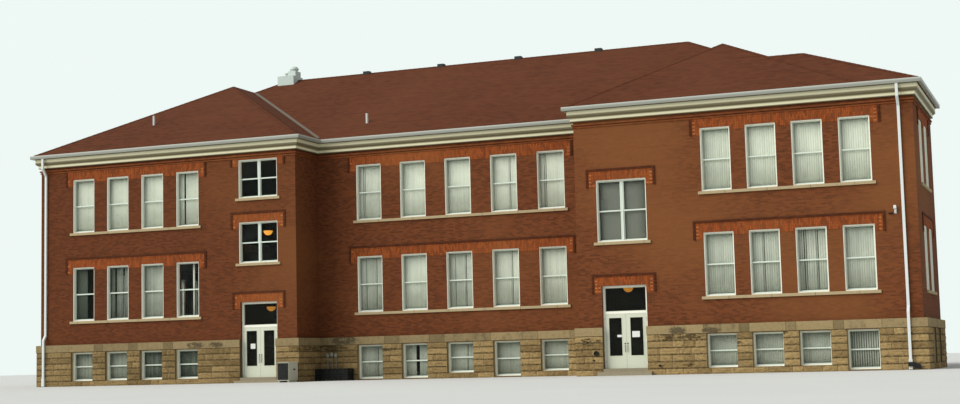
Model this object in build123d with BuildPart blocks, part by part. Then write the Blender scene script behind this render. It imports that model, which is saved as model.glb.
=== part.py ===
from build123d import *
from dataclasses import dataclass
import os

# Two-storey brick school on a stone basement, with hipped roofs over two wings and a main block.
# Origin: centre of the wall footprint at ground level. +X right along the front, +Y to the rear,
# +Z up. All lengths are in millimetres.

# Plan of the brick walls, measured on their outer faces
LEFT_WING_WIDTH = 13055
CENTRE_WIDTH = 12800
RIGHT_WING_WIDTH = 12895
WALL_DEPTH = 18250
LEFT_WING_SETBACK = 940
CENTRE_SETBACK = 2965
BAY_WIDTH = 2125
BAY_DEPTH = 6400
BRICK_THICKNESS = 400
STONE_PROJECTION = 130

# Levels: each storey repeats, and windows are measured from their floors
BASEMENT_TOP = 1520
WATER_TABLE_HEIGHT = 330
GROUND_FLOOR_TOP = 200
FIRST_FLOOR_TOP = 2060
STOREY_HEIGHT = 3970
FLOOR_THICKNESS = 300
WALL_ABOVE_WINDOWS = 1050

# Window rows
BASEMENT_SILL = 220
BASEMENT_LONG_SILL = 40
BASEMENT_LINTEL = 20
SILL_RISE = 830
LOWER_WINDOW_HEIGHT = 2410
UPPER_WINDOW_HEIGHT = 2420

# Windows along the fronts: number, spacing and width, and how far a row sits right of centre
LEFT_WING_COUNT = 4
LEFT_WING_PITCH = 1805
LEFT_WING_WINDOW = 1138
CENTRE_COUNT = 5
CENTRE_PITCH = 2079
CENTRE_WINDOW = 1184
CENTRE_ROW_SHIFT = 235
RIGHT_WING_COUNT = 4
RIGHT_WING_PITCH = 1726
RIGHT_WING_WINDOW = 1150
RIGHT_ROW_SHIFT = 172

# Windows on the sides and the rear: groups, and windows in each group
SIDE_WINDOW = 1150
SIDE_PITCH = 1850
LEFT_SIDE_LAYOUT = (2, 3)
RIGHT_SIDE_LAYOUT = (1, 4)
BAY_SIDE_LAYOUT = (1, 2)
REAR_LAYOUT = (3, 3)

# Stair bays over the two entrances: middle from the inner corner, windows from their floors
LEFT_STAIR_MARGIN = 1830
LEFT_STAIR_WINDOW = 1893
LEFT_LANDING_RISE = 3045
LEFT_LANDING_HEIGHT = 1775
LEFT_UPPER_LANDING_RISE = 1890
LEFT_UPPER_LANDING_HEIGHT = 1670
RIGHT_STAIR_MARGIN = 1840
RIGHT_STAIR_WINDOW = 1997
RIGHT_LANDING_RISE = 3070
RIGHT_LANDING_HEIGHT = 2410
STAIR_PANEL_MARGIN = 280
STAIRWELL_WIDTH = 2700
STAIRWELL_DEPTH = 5200

# Window frames and panes
WINDOW_RECESS = 120
FRAME_DEPTH = 100
FRAME_SIDE = 65
FRAME_HEAD = 75
FRAME_SILL = 90
MEETING_RAIL = 50
PAIR_MULLION = 150
PANE_THICKNESS = 12
PANE_SETBACK = 35
SASH_STEP = 32

# Doors
DOOR_OPENING_WIDTH = 1776
LEFT_DOOR_SILL = 220
RIGHT_DOOR_SILL = 265
DOOR_HEAD = 3440
TRANSOM_BAR_Z = 2360
TRANSOM_BAR_HEIGHT = 90
DOOR_FRAME_SIDE = 75
DOOR_FRAME_DEPTH = 140
DOOR_RECESS = 120
LEAF_THICKNESS = 45
LEAF_GAP = 6
MEETING_GAP = 8
LITE_WIDTH = 510
LITE_BOTTOM = 480
LITE_TOP_MARGIN = 145
LITE_SIDE_MARGIN = 130
LITE_GLASS = 10
KNUCKLE_RADIUS = 9
KNUCKLE_SIDES = 12
KNUCKLE_HEIGHT = 60
KNUCKLE_STANDOFF = 10
KNUCKLE_PLAY = 0.3
HINGE_MARGIN = 220
HINGE_COUNT = 3
STEP_PROJECTION = 330
STEP_SIDE = 180
STEP_DROP = 120

# Stone sills, brick bands and corbel courses
SILL_HEIGHT = 110
SILL_PROJECTION = 70
SILL_OVERRUN = 130
BAND_PROJECTION = 12
BAND_EAR_WIDTH = 300
BAND_EAR_DROP = 280
BAND_HEIGHT = 360
HOOD_WIDTH = 85
HOOD_PROJECTION = 40
CORBEL_PITCH = 90
CORBEL_HEIGHT = 60
CORBEL_PROJECTION = 35
CORBEL_STEP = 30
WATER_TABLE_OVERHANG = 25
WATER_TABLE_WASH = 40

# Cornice boards as reach and height, the cove between them, and the gutter
LOWER_BOARD = (100, 120)
COVE_HEIGHT = 80
UPPER_BOARD = (200, 240)
GUTTER_WIDTH = 120
GUTTER_HEIGHT = 150
GUTTER_WALL = 12
GUTTER_DROP = 30

# Roof: pitch as rise over run, thickness measured upright
ROOF_OVERHANG = 250
ROOF_EDGE = 170
ROOF_PITCH = 0.55
LEFT_PITCH = 0.56
RIGHT_PITCH = 0.49
ROOF_THICKNESS = 250
ROOF_BEARING = 100
LEFT_APEX_RUN = 6680
RIGHT_APEX_RUN = 5450
BAY_HIP_RUN = 4625
VALLEY_WIDTH = 200
VALLEY_THICKNESS = 8

# Chimney at the left end of the main ridge: wide base, narrower stack, capped flue pipes
CHIMNEY_RIDGE_SHIFT = 193
CHIMNEY_Y_SHIFT = -55
CHIMNEY_WIDTH = 890
CHIMNEY_DEPTH = 970
CHIMNEY_RISE = 170
STACK_WIDTH = 420
STACK_DEPTH = 560
STACK_HEIGHT = 260
FLUE_RADIUS = 170
FLUE_HEIGHT = 90
FLUE_CAP_RADIUS = 225
FLUE_CAP_RIM = 50
FLUE_CAP_DOME = 130
SMALL_FLUE_RADIUS = 65
SMALL_FLUE_HEIGHT = 180
SMALL_CAP_RADIUS = 95
SMALL_CAP_RIM = 30
SMALL_CAP_DOME = 30
CAP_SHOULDER = 0.72
CAP_CROWN = 0.1
FLUE_SIDES = 24

# Roof vents: the two pipes by their runs in from the eaves, and the low vents along the ridge
LEFT_VENT_RUNS = (4768, 2540)
CENTRE_VENT_RUNS = (1893, 1445)
VENT_RADIUS = 55
VENT_HEIGHT = 420
RIDGE_VENT_START = 4423
RIDGE_VENT_PITCH = 3950
RIDGE_VENT_COUNT = 4
RIDGE_VENT_LENGTH = 320
RIDGE_VENT_WIDTH = 280
RIDGE_VENT_HEIGHT = 90

# Downspouts: distance in from the outer corners, section, and clearances to what they pass
LEFT_SPOUT_MARGIN = 285
RIGHT_SPOUT_MARGIN = 505
SPOUT_WIDTH = 100
SPOUT_DEPTH = 78
SPOUT_STANDOFF = 14
SPOUT_CORNICE_DROP = 30
SPOUT_CORBEL_DROP = 100
SPOUT_FOOT_DROP = 220
SPOUT_FOOT = 380
BOOT_WIDTH = 130
BOOT_DEPTH = 110
BOOT_BOTTOM = 20

# Positions in plan that follow from the sizes above
WALL_LENGTH = LEFT_WING_WIDTH + CENTRE_WIDTH + RIGHT_WING_WIDTH
HALF_LENGTH = WALL_LENGTH / 2
REAR_Y = WALL_DEPTH / 2
RIGHT_FRONT_Y = -WALL_DEPTH / 2
LEFT_FRONT_Y = RIGHT_FRONT_Y + LEFT_WING_SETBACK
CENTRE_FRONT_Y = RIGHT_FRONT_Y + CENTRE_SETBACK
LEFT_INNER_X = -HALF_LENGTH + LEFT_WING_WIDTH
RIGHT_INNER_X = LEFT_INNER_X + CENTRE_WIDTH
RIGHT_SIDE_X = HALF_LENGTH - BAY_WIDTH
BAY_REAR_Y = RIGHT_FRONT_Y + BAY_DEPTH
LEFT_STAIR_X = LEFT_INNER_X - LEFT_STAIR_MARGIN
RIGHT_STAIR_X = RIGHT_INNER_X + RIGHT_STAIR_MARGIN
INNER_LEFT_FRONT_Y = LEFT_FRONT_Y + BRICK_THICKNESS
INNER_CENTRE_Y = CENTRE_FRONT_Y + BRICK_THICKNESS
INNER_RIGHT_FRONT_Y = RIGHT_FRONT_Y + BRICK_THICKNESS
INNER_REAR_Y = REAR_Y - BRICK_THICKNESS

# Levels that follow from the sizes above
WATER_TABLE_TOP = BASEMENT_TOP + WATER_TABLE_HEIGHT
BASEMENT_HEAD = BASEMENT_TOP - BASEMENT_LINTEL
SECOND_FLOOR_TOP = FIRST_FLOOR_TOP + STOREY_HEIGHT
ATTIC_FLOOR_TOP = SECOND_FLOOR_TOP + STOREY_HEIGHT
LOWER_SILL = FIRST_FLOOR_TOP + SILL_RISE
LOWER_HEAD = LOWER_SILL + LOWER_WINDOW_HEIGHT
UPPER_SILL = SECOND_FLOOR_TOP + SILL_RISE
UPPER_HEAD = UPPER_SILL + UPPER_WINDOW_HEIGHT
WALL_TOP = UPPER_HEAD + WALL_ABOVE_WINDOWS
CORBEL_LEVELS = (UPPER_HEAD + BAND_HEIGHT, UPPER_HEAD + BAND_HEIGHT + CORBEL_PITCH)
CORNICE_BOTTOM = WALL_TOP - LOWER_BOARD[1] - COVE_HEIGHT - UPPER_BOARD[1]
LEFT_LANDING_SILL = FIRST_FLOOR_TOP + LEFT_LANDING_RISE
LEFT_UPPER_LANDING_SILL = SECOND_FLOOR_TOP + LEFT_UPPER_LANDING_RISE
RIGHT_LANDING_SILL = FIRST_FLOOR_TOP + RIGHT_LANDING_RISE

# Roof lines that follow from the sizes above
EAVE_EDGE_TOP = WALL_TOP + ROOF_EDGE
LEFT_EAVE = -HALF_LENGTH - ROOF_OVERHANG
RIGHT_EAVE = RIGHT_SIDE_X + ROOF_OVERHANG
LEFT_WING_EAVE = LEFT_FRONT_Y - ROOF_OVERHANG
RIGHT_WING_EAVE = RIGHT_FRONT_Y - ROOF_OVERHANG
BAY_REAR_EAVE = BAY_REAR_Y + ROOF_OVERHANG
MAIN_EAVE_FRONT = CENTRE_FRONT_Y - ROOF_OVERHANG
MAIN_EAVE_REAR = REAR_Y + ROOF_OVERHANG
MAIN_RIDGE_Y = (MAIN_EAVE_FRONT + MAIN_EAVE_REAR) / 2
MAIN_RISE = ROOF_PITCH * (MAIN_RIDGE_Y - MAIN_EAVE_FRONT)
MAIN_RIDGE_Z = EAVE_EDGE_TOP + MAIN_RISE
MAIN_RIDGE_X = (LEFT_EAVE + MAIN_RISE / LEFT_PITCH, RIGHT_EAVE - MAIN_RISE / RIGHT_PITCH)
LEFT_RISE = ROOF_PITCH * LEFT_APEX_RUN
RIGHT_RISE = ROOF_PITCH * RIGHT_APEX_RUN
BAY_RIDGE_Y = (RIGHT_WING_EAVE + BAY_REAR_EAVE) / 2
BAY_RISE = ROOF_PITCH * (BAY_RIDGE_Y - RIGHT_WING_EAVE)
LEFT_APEX_X = LEFT_EAVE + LEFT_RISE / LEFT_PITCH
RIGHT_APEX_X = RIGHT_EAVE - RIGHT_RISE / RIGHT_PITCH

OUTLINE = (
    (-HALF_LENGTH, LEFT_FRONT_Y),
    (LEFT_INNER_X, LEFT_FRONT_Y),
    (LEFT_INNER_X, CENTRE_FRONT_Y),
    (RIGHT_INNER_X, CENTRE_FRONT_Y),
    (RIGHT_INNER_X, RIGHT_FRONT_Y),
    (HALF_LENGTH, RIGHT_FRONT_Y),
    (HALF_LENGTH, BAY_REAR_Y),
    (RIGHT_SIDE_X, BAY_REAR_Y),
    (RIGHT_SIDE_X, REAR_Y),
    (-HALF_LENGTH, REAR_Y),
)

os.makedirs("parts", exist_ok=True)


@dataclass(frozen=True)
class Opening:
    """A rectangular hole in a wall: centre along the wall, width, sill and head."""

    u: float
    width: float
    sill: float
    head: float
    leaves: int = 1

    @property
    def height(self):
        return self.head - self.sill

    @property
    def middle(self):
        return (self.sill + self.head) / 2

    @property
    def left(self):
        return self.u - self.width / 2

    @property
    def right(self):
        return self.u + self.width / 2


def front_plane(y):
    """Upright plane of a front face, local x to the right, normal to the street."""
    return Plane(origin=(0, y, 0), x_dir=(1, 0, 0), z_dir=(0, -1, 0))


def rear_plane(y):
    return Plane(origin=(0, y, 0), x_dir=(-1, 0, 0), z_dir=(0, 1, 0))


def right_plane(x):
    return Plane(origin=(x, 0, 0), x_dir=(0, 1, 0), z_dir=(1, 0, 0))


def left_plane(x):
    return Plane(origin=(x, 0, 0), x_dir=(0, -1, 0), z_dir=(-1, 0, 0))


LEFT_FRONT = front_plane(LEFT_FRONT_Y)
CENTRE_FRONT = front_plane(CENTRE_FRONT_Y)
RIGHT_FRONT = front_plane(RIGHT_FRONT_Y)
LEFT_RETURN = right_plane(LEFT_INNER_X)
RIGHT_RETURN = left_plane(RIGHT_INNER_X)
BAY_SIDE = right_plane(HALF_LENGTH)
BAY_REAR = rear_plane(BAY_REAR_Y)
RIGHT_SIDE = right_plane(RIGHT_SIDE_X)
REAR = rear_plane(REAR_Y)
LEFT_SIDE = left_plane(-HALF_LENGTH)


def row(middle, pitch, count, width, sill, head):
    """A row of equal windows about one place along a wall."""
    first = middle - pitch * (count - 1) / 2
    return [Opening(first + i * pitch, width, sill, head) for i in range(count)]


def storeys(middle, pitch, count, width, long_windows=()):
    """The basement, lower and upper rows of one group of windows."""
    basement = [
        Opening(o.u, o.width, BASEMENT_LONG_SILL if i in long_windows else BASEMENT_SILL, o.head)
        for i, o in enumerate(row(middle, pitch, count, width, BASEMENT_SILL, BASEMENT_HEAD))
    ]
    return [
        basement,
        row(middle, pitch, count, width, LOWER_SILL, LOWER_HEAD),
        row(middle, pitch, count, width, UPPER_SILL, UPPER_HEAD),
    ]


def spread(u_from, u_to, layout):
    """Groups of windows spread evenly along an unseen wall."""
    groups, windows = layout
    share = (u_to - u_from) / groups
    return [storeys(u_from + share * (i + 0.5), SIDE_PITCH, windows, SIDE_WINDOW) for i in range(groups)]


def stair_panel(stair_x, width):
    """The part of a front wall that belongs to the panel over an entrance."""
    return Opening(stair_x, width + 2 * STAIR_PANEL_MARGIN, DOOR_HEAD, WALL_TOP)


LEFT_PANEL = stair_panel(LEFT_STAIR_X, LEFT_STAIR_WINDOW)
RIGHT_PANEL = stair_panel(RIGHT_STAIR_X, RIGHT_STAIR_WINDOW)
LEFT_LANDINGS = [
    Opening(LEFT_STAIR_X, LEFT_STAIR_WINDOW, sill, sill + height, leaves=2)
    for sill, height in (
        (LEFT_LANDING_SILL, LEFT_LANDING_HEIGHT),
        (LEFT_UPPER_LANDING_SILL, LEFT_UPPER_LANDING_HEIGHT),
    )
]
RIGHT_LANDING_HEAD = RIGHT_LANDING_SILL + RIGHT_LANDING_HEIGHT
RIGHT_LANDINGS = [Opening(RIGHT_STAIR_X, RIGHT_STAIR_WINDOW, RIGHT_LANDING_SILL, RIGHT_LANDING_HEAD, leaves=2)]
LEFT_DOORWAY = Opening(LEFT_STAIR_X, DOOR_OPENING_WIDTH, LEFT_DOOR_SILL, DOOR_HEAD)
RIGHT_DOORWAY = Opening(RIGHT_STAIR_X, DOOR_OPENING_WIDTH, RIGHT_DOOR_SILL, DOOR_HEAD)

LEFT_GROUP = storeys(
    (-HALF_LENGTH + LEFT_PANEL.left) / 2,
    LEFT_WING_PITCH,
    LEFT_WING_COUNT,
    LEFT_WING_WINDOW,
)
CENTRE_GROUP = storeys(
    (LEFT_INNER_X + RIGHT_INNER_X) / 2 + CENTRE_ROW_SHIFT,
    CENTRE_PITCH,
    CENTRE_COUNT,
    CENTRE_WINDOW,
    long_windows=(0, 1, 3),
)
RIGHT_GROUP = storeys(
    (RIGHT_PANEL.right + HALF_LENGTH) / 2 + RIGHT_ROW_SHIFT,
    RIGHT_WING_PITCH,
    RIGHT_WING_COUNT,
    RIGHT_WING_WINDOW,
    long_windows=(3,),
)
SIDE_GROUPS = {
    "left_side": (LEFT_SIDE, spread(-REAR_Y, -LEFT_FRONT_Y, LEFT_SIDE_LAYOUT)),
    "right_side": (RIGHT_SIDE, spread(BAY_REAR_Y, REAR_Y, RIGHT_SIDE_LAYOUT)),
    "bay_side": (BAY_SIDE, spread(RIGHT_FRONT_Y, BAY_REAR_Y, BAY_SIDE_LAYOUT)),
    "rear": (REAR, spread(-RIGHT_SIDE_X, HALF_LENGTH, REAR_LAYOUT)),
}


def save(builder, name):
    """Label a finished piece and write it."""
    builder.part.label = name
    export_step(builder.part, f"parts/{name}.step")


def wall(plane, u_from, u_to, z_from, z_to, openings, proud=0, thickness=BRICK_THICKNESS):
    """A straight run of wall on a face plane, with its openings cut through."""
    with BuildPart() as run:
        with BuildSketch(plane.offset(proud)):
            with Locations(((u_from + u_to) / 2, (z_from + z_to) / 2)):
                Rectangle(u_to - u_from, z_to - z_from)
            for opening in openings:
                with Locations((opening.u, opening.middle)):
                    Rectangle(opening.width, opening.height, mode=Mode.SUBTRACT)
        extrude(amount=-(thickness + proud))
    return run.part


def every(groups):
    """All the openings of nested rows as one list."""
    return [opening for rows in groups for opening in rows]


def side_openings(side):
    """All the openings of one unseen wall."""
    plane, groups = SIDE_GROUPS[side]
    return every(every(groups))


@dataclass(frozen=True)
class Run:
    """One straight wall run: its face, its ends and how the proud stone meets each end.

    An end of +1 carries the stone round an outside corner, -1 stops it short of the return's
    stone, and 0 leaves it at the brick's end.
    """

    name: str
    plane: Plane
    u_from: float
    u_to: float
    stone_ends: tuple
    openings: list


LEFT_WING_OPENINGS = every(LEFT_GROUP) + [LEFT_PANEL]
RIGHT_WING_OPENINGS = every(RIGHT_GROUP) + [RIGHT_PANEL]
BAY_INNER_X = HALF_LENGTH - BRICK_THICKNESS
RIGHT_INNER_SIDE_X = RIGHT_SIDE_X - BRICK_THICKNESS

RUNS = [
    Run("left_wing", LEFT_FRONT, -HALF_LENGTH, LEFT_DOORWAY.left, (1, 0), LEFT_WING_OPENINGS),
    Run("left_corner", LEFT_FRONT, LEFT_DOORWAY.right, LEFT_INNER_X, (0, 1), [LEFT_PANEL]),
    Run("left_corner", LEFT_RETURN, INNER_LEFT_FRONT_Y, INNER_CENTRE_Y, (0, 0), []),
    Run("centre", CENTRE_FRONT, LEFT_INNER_X, RIGHT_INNER_X, (-1, -1), every(CENTRE_GROUP)),
    Run("right_corner", RIGHT_RETURN, -INNER_CENTRE_Y, -INNER_RIGHT_FRONT_Y, (0, 0), []),
    Run("right_corner", RIGHT_FRONT, RIGHT_INNER_X, RIGHT_DOORWAY.left, (1, 0), [RIGHT_PANEL]),
    Run("right_wing", RIGHT_FRONT, RIGHT_DOORWAY.right, HALF_LENGTH, (0, 1), RIGHT_WING_OPENINGS),
    Run("bay", BAY_SIDE, INNER_RIGHT_FRONT_Y, BAY_REAR_Y, (0, 1), side_openings("bay_side")),
    Run("bay", BAY_REAR, -BAY_INNER_X, -RIGHT_INNER_SIDE_X, (0, 0), []),
    Run("right_side", RIGHT_SIDE, BAY_REAR_Y, INNER_REAR_Y, (-1, 0), side_openings("right_side")),
    Run("rear", REAR, -RIGHT_SIDE_X, HALF_LENGTH, (1, 1), side_openings("rear")),
    Run("left_side", LEFT_SIDE, -INNER_REAR_Y, -INNER_LEFT_FRONT_Y, (0, 0), side_openings("left_side")),
]

for name in dict.fromkeys(run.name for run in RUNS):
    joined = [run for run in RUNS if run.name == name]
    with BuildPart() as stone:
        for run in joined:
            stone_from = run.u_from - run.stone_ends[0] * STONE_PROJECTION
            stone_to = run.u_to + run.stone_ends[1] * STONE_PROJECTION
            add(wall(run.plane, stone_from, stone_to, 0, BASEMENT_TOP, run.openings, proud=STONE_PROJECTION))
    save(stone, f"{name}_basement")
    with BuildPart() as brick:
        for run in joined:
            add(wall(run.plane, run.u_from, run.u_to, BASEMENT_TOP, WALL_TOP, run.openings))
    save(brick, f"{name}_wall")

for name, plane, panel, landings in (
    ("left_stair_wall", LEFT_FRONT, LEFT_PANEL, LEFT_LANDINGS),
    ("right_stair_wall", RIGHT_FRONT, RIGHT_PANEL, RIGHT_LANDINGS),
):
    half = panel.width / 2
    with BuildPart() as over_door:
        add(wall(plane, panel.u - half, panel.u + half, panel.sill, panel.head, landings))
    save(over_door, name)


def ring(z_from, z_to, outer, inner=0):
    """A level band round the whole building, between two offsets of the brick outline."""
    with BuildPart() as band:
        with BuildSketch(Plane.XY.offset(z_from)):
            with BuildLine():
                Polyline(*OUTLINE, close=True)
            make_face()
            offset(amount=outer, kind=Kind.INTERSECTION)
        extrude(amount=z_to - z_from)
        with BuildSketch(Plane.XY.offset(z_from)):
            with BuildLine():
                Polyline(*OUTLINE, close=True)
            make_face()
            if inner:
                offset(amount=inner, kind=Kind.INTERSECTION)
        extrude(amount=z_to - z_from, mode=Mode.SUBTRACT)
    return band.part


def tapered(z_from, height, outer, spread):
    """A level band whose outer face leans out by spread over its height."""
    with BuildPart() as band:
        for level, reach in ((z_from, outer), (z_from + height, outer + spread)):
            with BuildSketch(Plane.XY.offset(level)):
                with BuildLine():
                    Polyline(*OUTLINE, close=True)
                make_face()
                offset(amount=reach, kind=Kind.INTERSECTION)
        loft(ruled=True)
        with BuildSketch(Plane.XY.offset(z_from)):
            with BuildLine():
                Polyline(*OUTLINE, close=True)
            make_face()
        extrude(amount=height, mode=Mode.SUBTRACT)
    return band.part


def doorway_block(doorway, plane, reach):
    """The clear space of a doorway through everything proud of the wall."""
    with BuildPart() as block:
        with BuildSketch(plane):
            with Locations((doorway.u, doorway.middle)):
                Rectangle(doorway.width, doorway.height)
        extrude(amount=reach)
    return block.part


# Water table: smooth stone course on the basement's ledge, its top sloped to shed water
table_reach = STONE_PROJECTION + WATER_TABLE_OVERHANG
course = ring(BASEMENT_TOP, WATER_TABLE_TOP - WATER_TABLE_WASH, table_reach)
wash = tapered(WATER_TABLE_TOP - WATER_TABLE_WASH, WATER_TABLE_WASH, table_reach, -table_reach / 2)
door_gaps = [
    doorway_block(LEFT_DOORWAY, LEFT_FRONT, 2 * table_reach),
    doorway_block(RIGHT_DOORWAY, RIGHT_FRONT, 2 * table_reach),
]
with BuildPart() as water_table:
    add(course)
    add(wash)
    add(door_gaps, mode=Mode.SUBTRACT)
save(water_table, "water_table")

# Two thin brick courses stepping out below the cornice
with BuildPart() as corbel_courses:
    for step, level in enumerate(CORBEL_LEVELS):
        add(ring(level, level + CORBEL_HEIGHT, CORBEL_PROJECTION + step * CORBEL_STEP))
save(corbel_courses, "corbel_courses")

# Cornice: lower board, cove and upper board under the eaves
lower_reach, lower_height = LOWER_BOARD
upper_reach = UPPER_BOARD[0]
cove_z = CORNICE_BOTTOM + lower_height
upper_z = cove_z + COVE_HEIGHT
with BuildPart() as cornice:
    add(ring(CORNICE_BOTTOM, cove_z, lower_reach))
    add(tapered(cove_z, COVE_HEIGHT, lower_reach, upper_reach - lower_reach))
    add(ring(upper_z, WALL_TOP, upper_reach))
save(cornice, "cornice")

# Gutter: an open trough hung on the roof's edge
gutter_outer = ROOF_OVERHANG + GUTTER_WIDTH
gutter_top = EAVE_EDGE_TOP - GUTTER_DROP
gutter_bottom = gutter_top - GUTTER_HEIGHT
with BuildPart() as gutter:
    add(ring(gutter_bottom, gutter_top, gutter_outer, ROOF_OVERHANG))
    trough_sides = (gutter_outer - GUTTER_WALL, ROOF_OVERHANG + GUTTER_WALL)
    add(ring(gutter_bottom + GUTTER_WALL, gutter_top, *trough_sides), mode=Mode.SUBTRACT)
save(gutter, "gutter")


def row_span(windows):
    """Left and right edge of a row of windows."""
    return min(w.left for w in windows), max(w.right for w in windows)


def band_top(windows):
    """Top of the band over a row of windows, stopped by the corbel courses."""
    return min(windows[0].head + BAND_HEIGHT, CORBEL_LEVELS[0])


def sill(plane, windows):
    """One stone sill under a row of windows, run past the end windows."""
    left, right = row_span(windows)
    with BuildPart() as stone:
        with BuildSketch(plane):
            with Locations(((left + right) / 2, windows[0].sill - SILL_HEIGHT / 2)):
                Rectangle(right - left + 2 * SILL_OVERRUN, SILL_HEIGHT)
        extrude(amount=SILL_PROJECTION)
    return stone.part


def band_outline(left, right, head, top):
    """An upside-down U over a row of windows: the band with its two dropped ears."""
    outer_left = left - BAND_EAR_WIDTH
    outer_right = right + BAND_EAR_WIDTH
    ear = head - BAND_EAR_DROP
    return (
        (outer_left, ear),
        (left, ear),
        (left, head),
        (right, head),
        (right, ear),
        (outer_right, ear),
        (outer_right, top),
        (outer_left, top),
    )


def band(plane, windows):
    """The bright brick band over a row of windows."""
    left, right = row_span(windows)
    with BuildPart() as bricks:
        with BuildSketch(plane):
            with BuildLine():
                Polyline(*band_outline(left, right, windows[0].head, band_top(windows)), close=True)
            make_face()
        extrude(amount=BAND_PROJECTION)
    return bricks.part


def hood(plane, windows):
    """The thin projecting course along the top and ends of a band."""
    left, right = row_span(windows)
    top = band_top(windows)
    course_top = min(top + HOOD_WIDTH, CORBEL_LEVELS[0])
    outer_left = left - BAND_EAR_WIDTH
    outer_right = right + BAND_EAR_WIDTH
    ear = windows[0].head - BAND_EAR_DROP
    with BuildPart() as course:
        with BuildSketch(plane):
            with BuildLine():
                Polyline(
                    (outer_left - HOOD_WIDTH, ear),
                    (outer_right + HOOD_WIDTH, ear),
                    (outer_right + HOOD_WIDTH, course_top),
                    (outer_left - HOOD_WIDTH, course_top),
                    close=True,
                )
            make_face()
            with BuildLine():
                Polyline(
                    (outer_left, ear),
                    (outer_right, ear),
                    (outer_right, top),
                    (outer_left, top),
                    close=True,
                )
            make_face(mode=Mode.SUBTRACT)
        extrude(amount=HOOD_PROJECTION)
    return course.part


FRONT_GROUPS = ((LEFT_FRONT, LEFT_GROUP), (CENTRE_FRONT, CENTRE_GROUP), (RIGHT_FRONT, RIGHT_GROUP))
GROUPS = list(FRONT_GROUPS) + [(plane, group) for plane, groups in SIDE_GROUPS.values() for group in groups]
TALL_ROWS = [(plane, rows[level]) for plane, rows in GROUPS for level in (1, 2)]
LANDING_ROWS = [(LEFT_FRONT, [o]) for o in LEFT_LANDINGS] + [(RIGHT_FRONT, [o]) for o in RIGHT_LANDINGS]
DOOR_ROWS = [(LEFT_FRONT, [LEFT_DOORWAY]), (RIGHT_FRONT, [RIGHT_DOORWAY])]

with BuildPart() as window_sills:
    for plane, windows in TALL_ROWS + LANDING_ROWS:
        add(sill(plane, windows))
save(window_sills, "window_sills")

with BuildPart() as brick_bands:
    for plane, windows in TALL_ROWS + LANDING_ROWS + DOOR_ROWS:
        add(band(plane, windows))
save(brick_bands, "brick_bands")

with BuildPart() as hood_courses:
    for plane, windows in TALL_ROWS + LANDING_ROWS + DOOR_ROWS:
        add(hood(plane, windows))
save(hood_courses, "hood_courses")


def hip_volume(x_eaves, x_ridge, y_eaves, y_ridge, rise, lower=0, inset=0):
    """Solid under a hipped roof: the overlap of a long and a cross prism.

    The eaves and ridge are given as pairs of positions. A positive inset pulls the eaves in, and
    lower drops the slopes, which gives the hollow under the roof boards.
    """

    def profile(eaves, ridge):
        near, far = eaves
        near_slope = rise / (ridge[0] - near)
        far_slope = rise / (far - ridge[1])
        top = EAVE_EDGE_TOP + rise - lower
        points = [
            (near + inset, WALL_TOP),
            (near + inset, EAVE_EDGE_TOP - lower + near_slope * inset),
            (ridge[0], top),
            (ridge[1], top),
            (far - inset, EAVE_EDGE_TOP - lower + far_slope * inset),
            (far - inset, WALL_TOP),
        ]
        return [p for i, p in enumerate(points) if p != points[i - 1]]

    with BuildPart() as volume:
        with BuildSketch(front_plane(y_eaves[0])):
            with BuildLine():
                Polyline(*profile(x_eaves, x_ridge), close=True)
            make_face()
        extrude(amount=-(y_eaves[1] - y_eaves[0]))
        with BuildSketch(right_plane(x_eaves[0])):
            with BuildLine():
                Polyline(*profile(y_eaves, y_ridge), close=True)
            make_face()
        extrude(amount=x_eaves[1] - x_eaves[0], mode=Mode.INTERSECT)
    return volume.part


# The wings share the left and the right slope of the main roof, so their ridges end on its hips
ROOF_SHAPES = {
    "main_roof": dict(
        x_eaves=(LEFT_EAVE, RIGHT_EAVE),
        x_ridge=MAIN_RIDGE_X,
        y_eaves=(MAIN_EAVE_FRONT, MAIN_EAVE_REAR),
        y_ridge=(MAIN_RIDGE_Y, MAIN_RIDGE_Y),
        rise=MAIN_RISE,
    ),
    "left_wing_roof": dict(
        x_eaves=(LEFT_EAVE, LEFT_INNER_X + ROOF_OVERHANG),
        x_ridge=(LEFT_APEX_X, LEFT_APEX_X),
        y_eaves=(LEFT_WING_EAVE, MAIN_EAVE_REAR),
        y_ridge=(LEFT_WING_EAVE + LEFT_APEX_RUN, MAIN_EAVE_REAR - LEFT_APEX_RUN),
        rise=LEFT_RISE,
    ),
    "right_wing_roof": dict(
        x_eaves=(RIGHT_INNER_X - ROOF_OVERHANG, RIGHT_EAVE),
        x_ridge=(RIGHT_APEX_X, RIGHT_APEX_X),
        y_eaves=(RIGHT_WING_EAVE, MAIN_EAVE_REAR),
        y_ridge=(RIGHT_WING_EAVE + RIGHT_APEX_RUN, MAIN_EAVE_REAR - RIGHT_APEX_RUN),
        rise=RIGHT_RISE,
    ),
    "bay_roof": dict(
        x_eaves=(RIGHT_APEX_X - BAY_RISE / ROOF_PITCH, HALF_LENGTH + ROOF_OVERHANG),
        x_ridge=(RIGHT_APEX_X, HALF_LENGTH + ROOF_OVERHANG - BAY_HIP_RUN),
        y_eaves=(RIGHT_WING_EAVE, BAY_REAR_EAVE),
        y_ridge=(BAY_RIDGE_Y, BAY_RIDGE_Y),
        rise=BAY_RISE,
    ),
}

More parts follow.
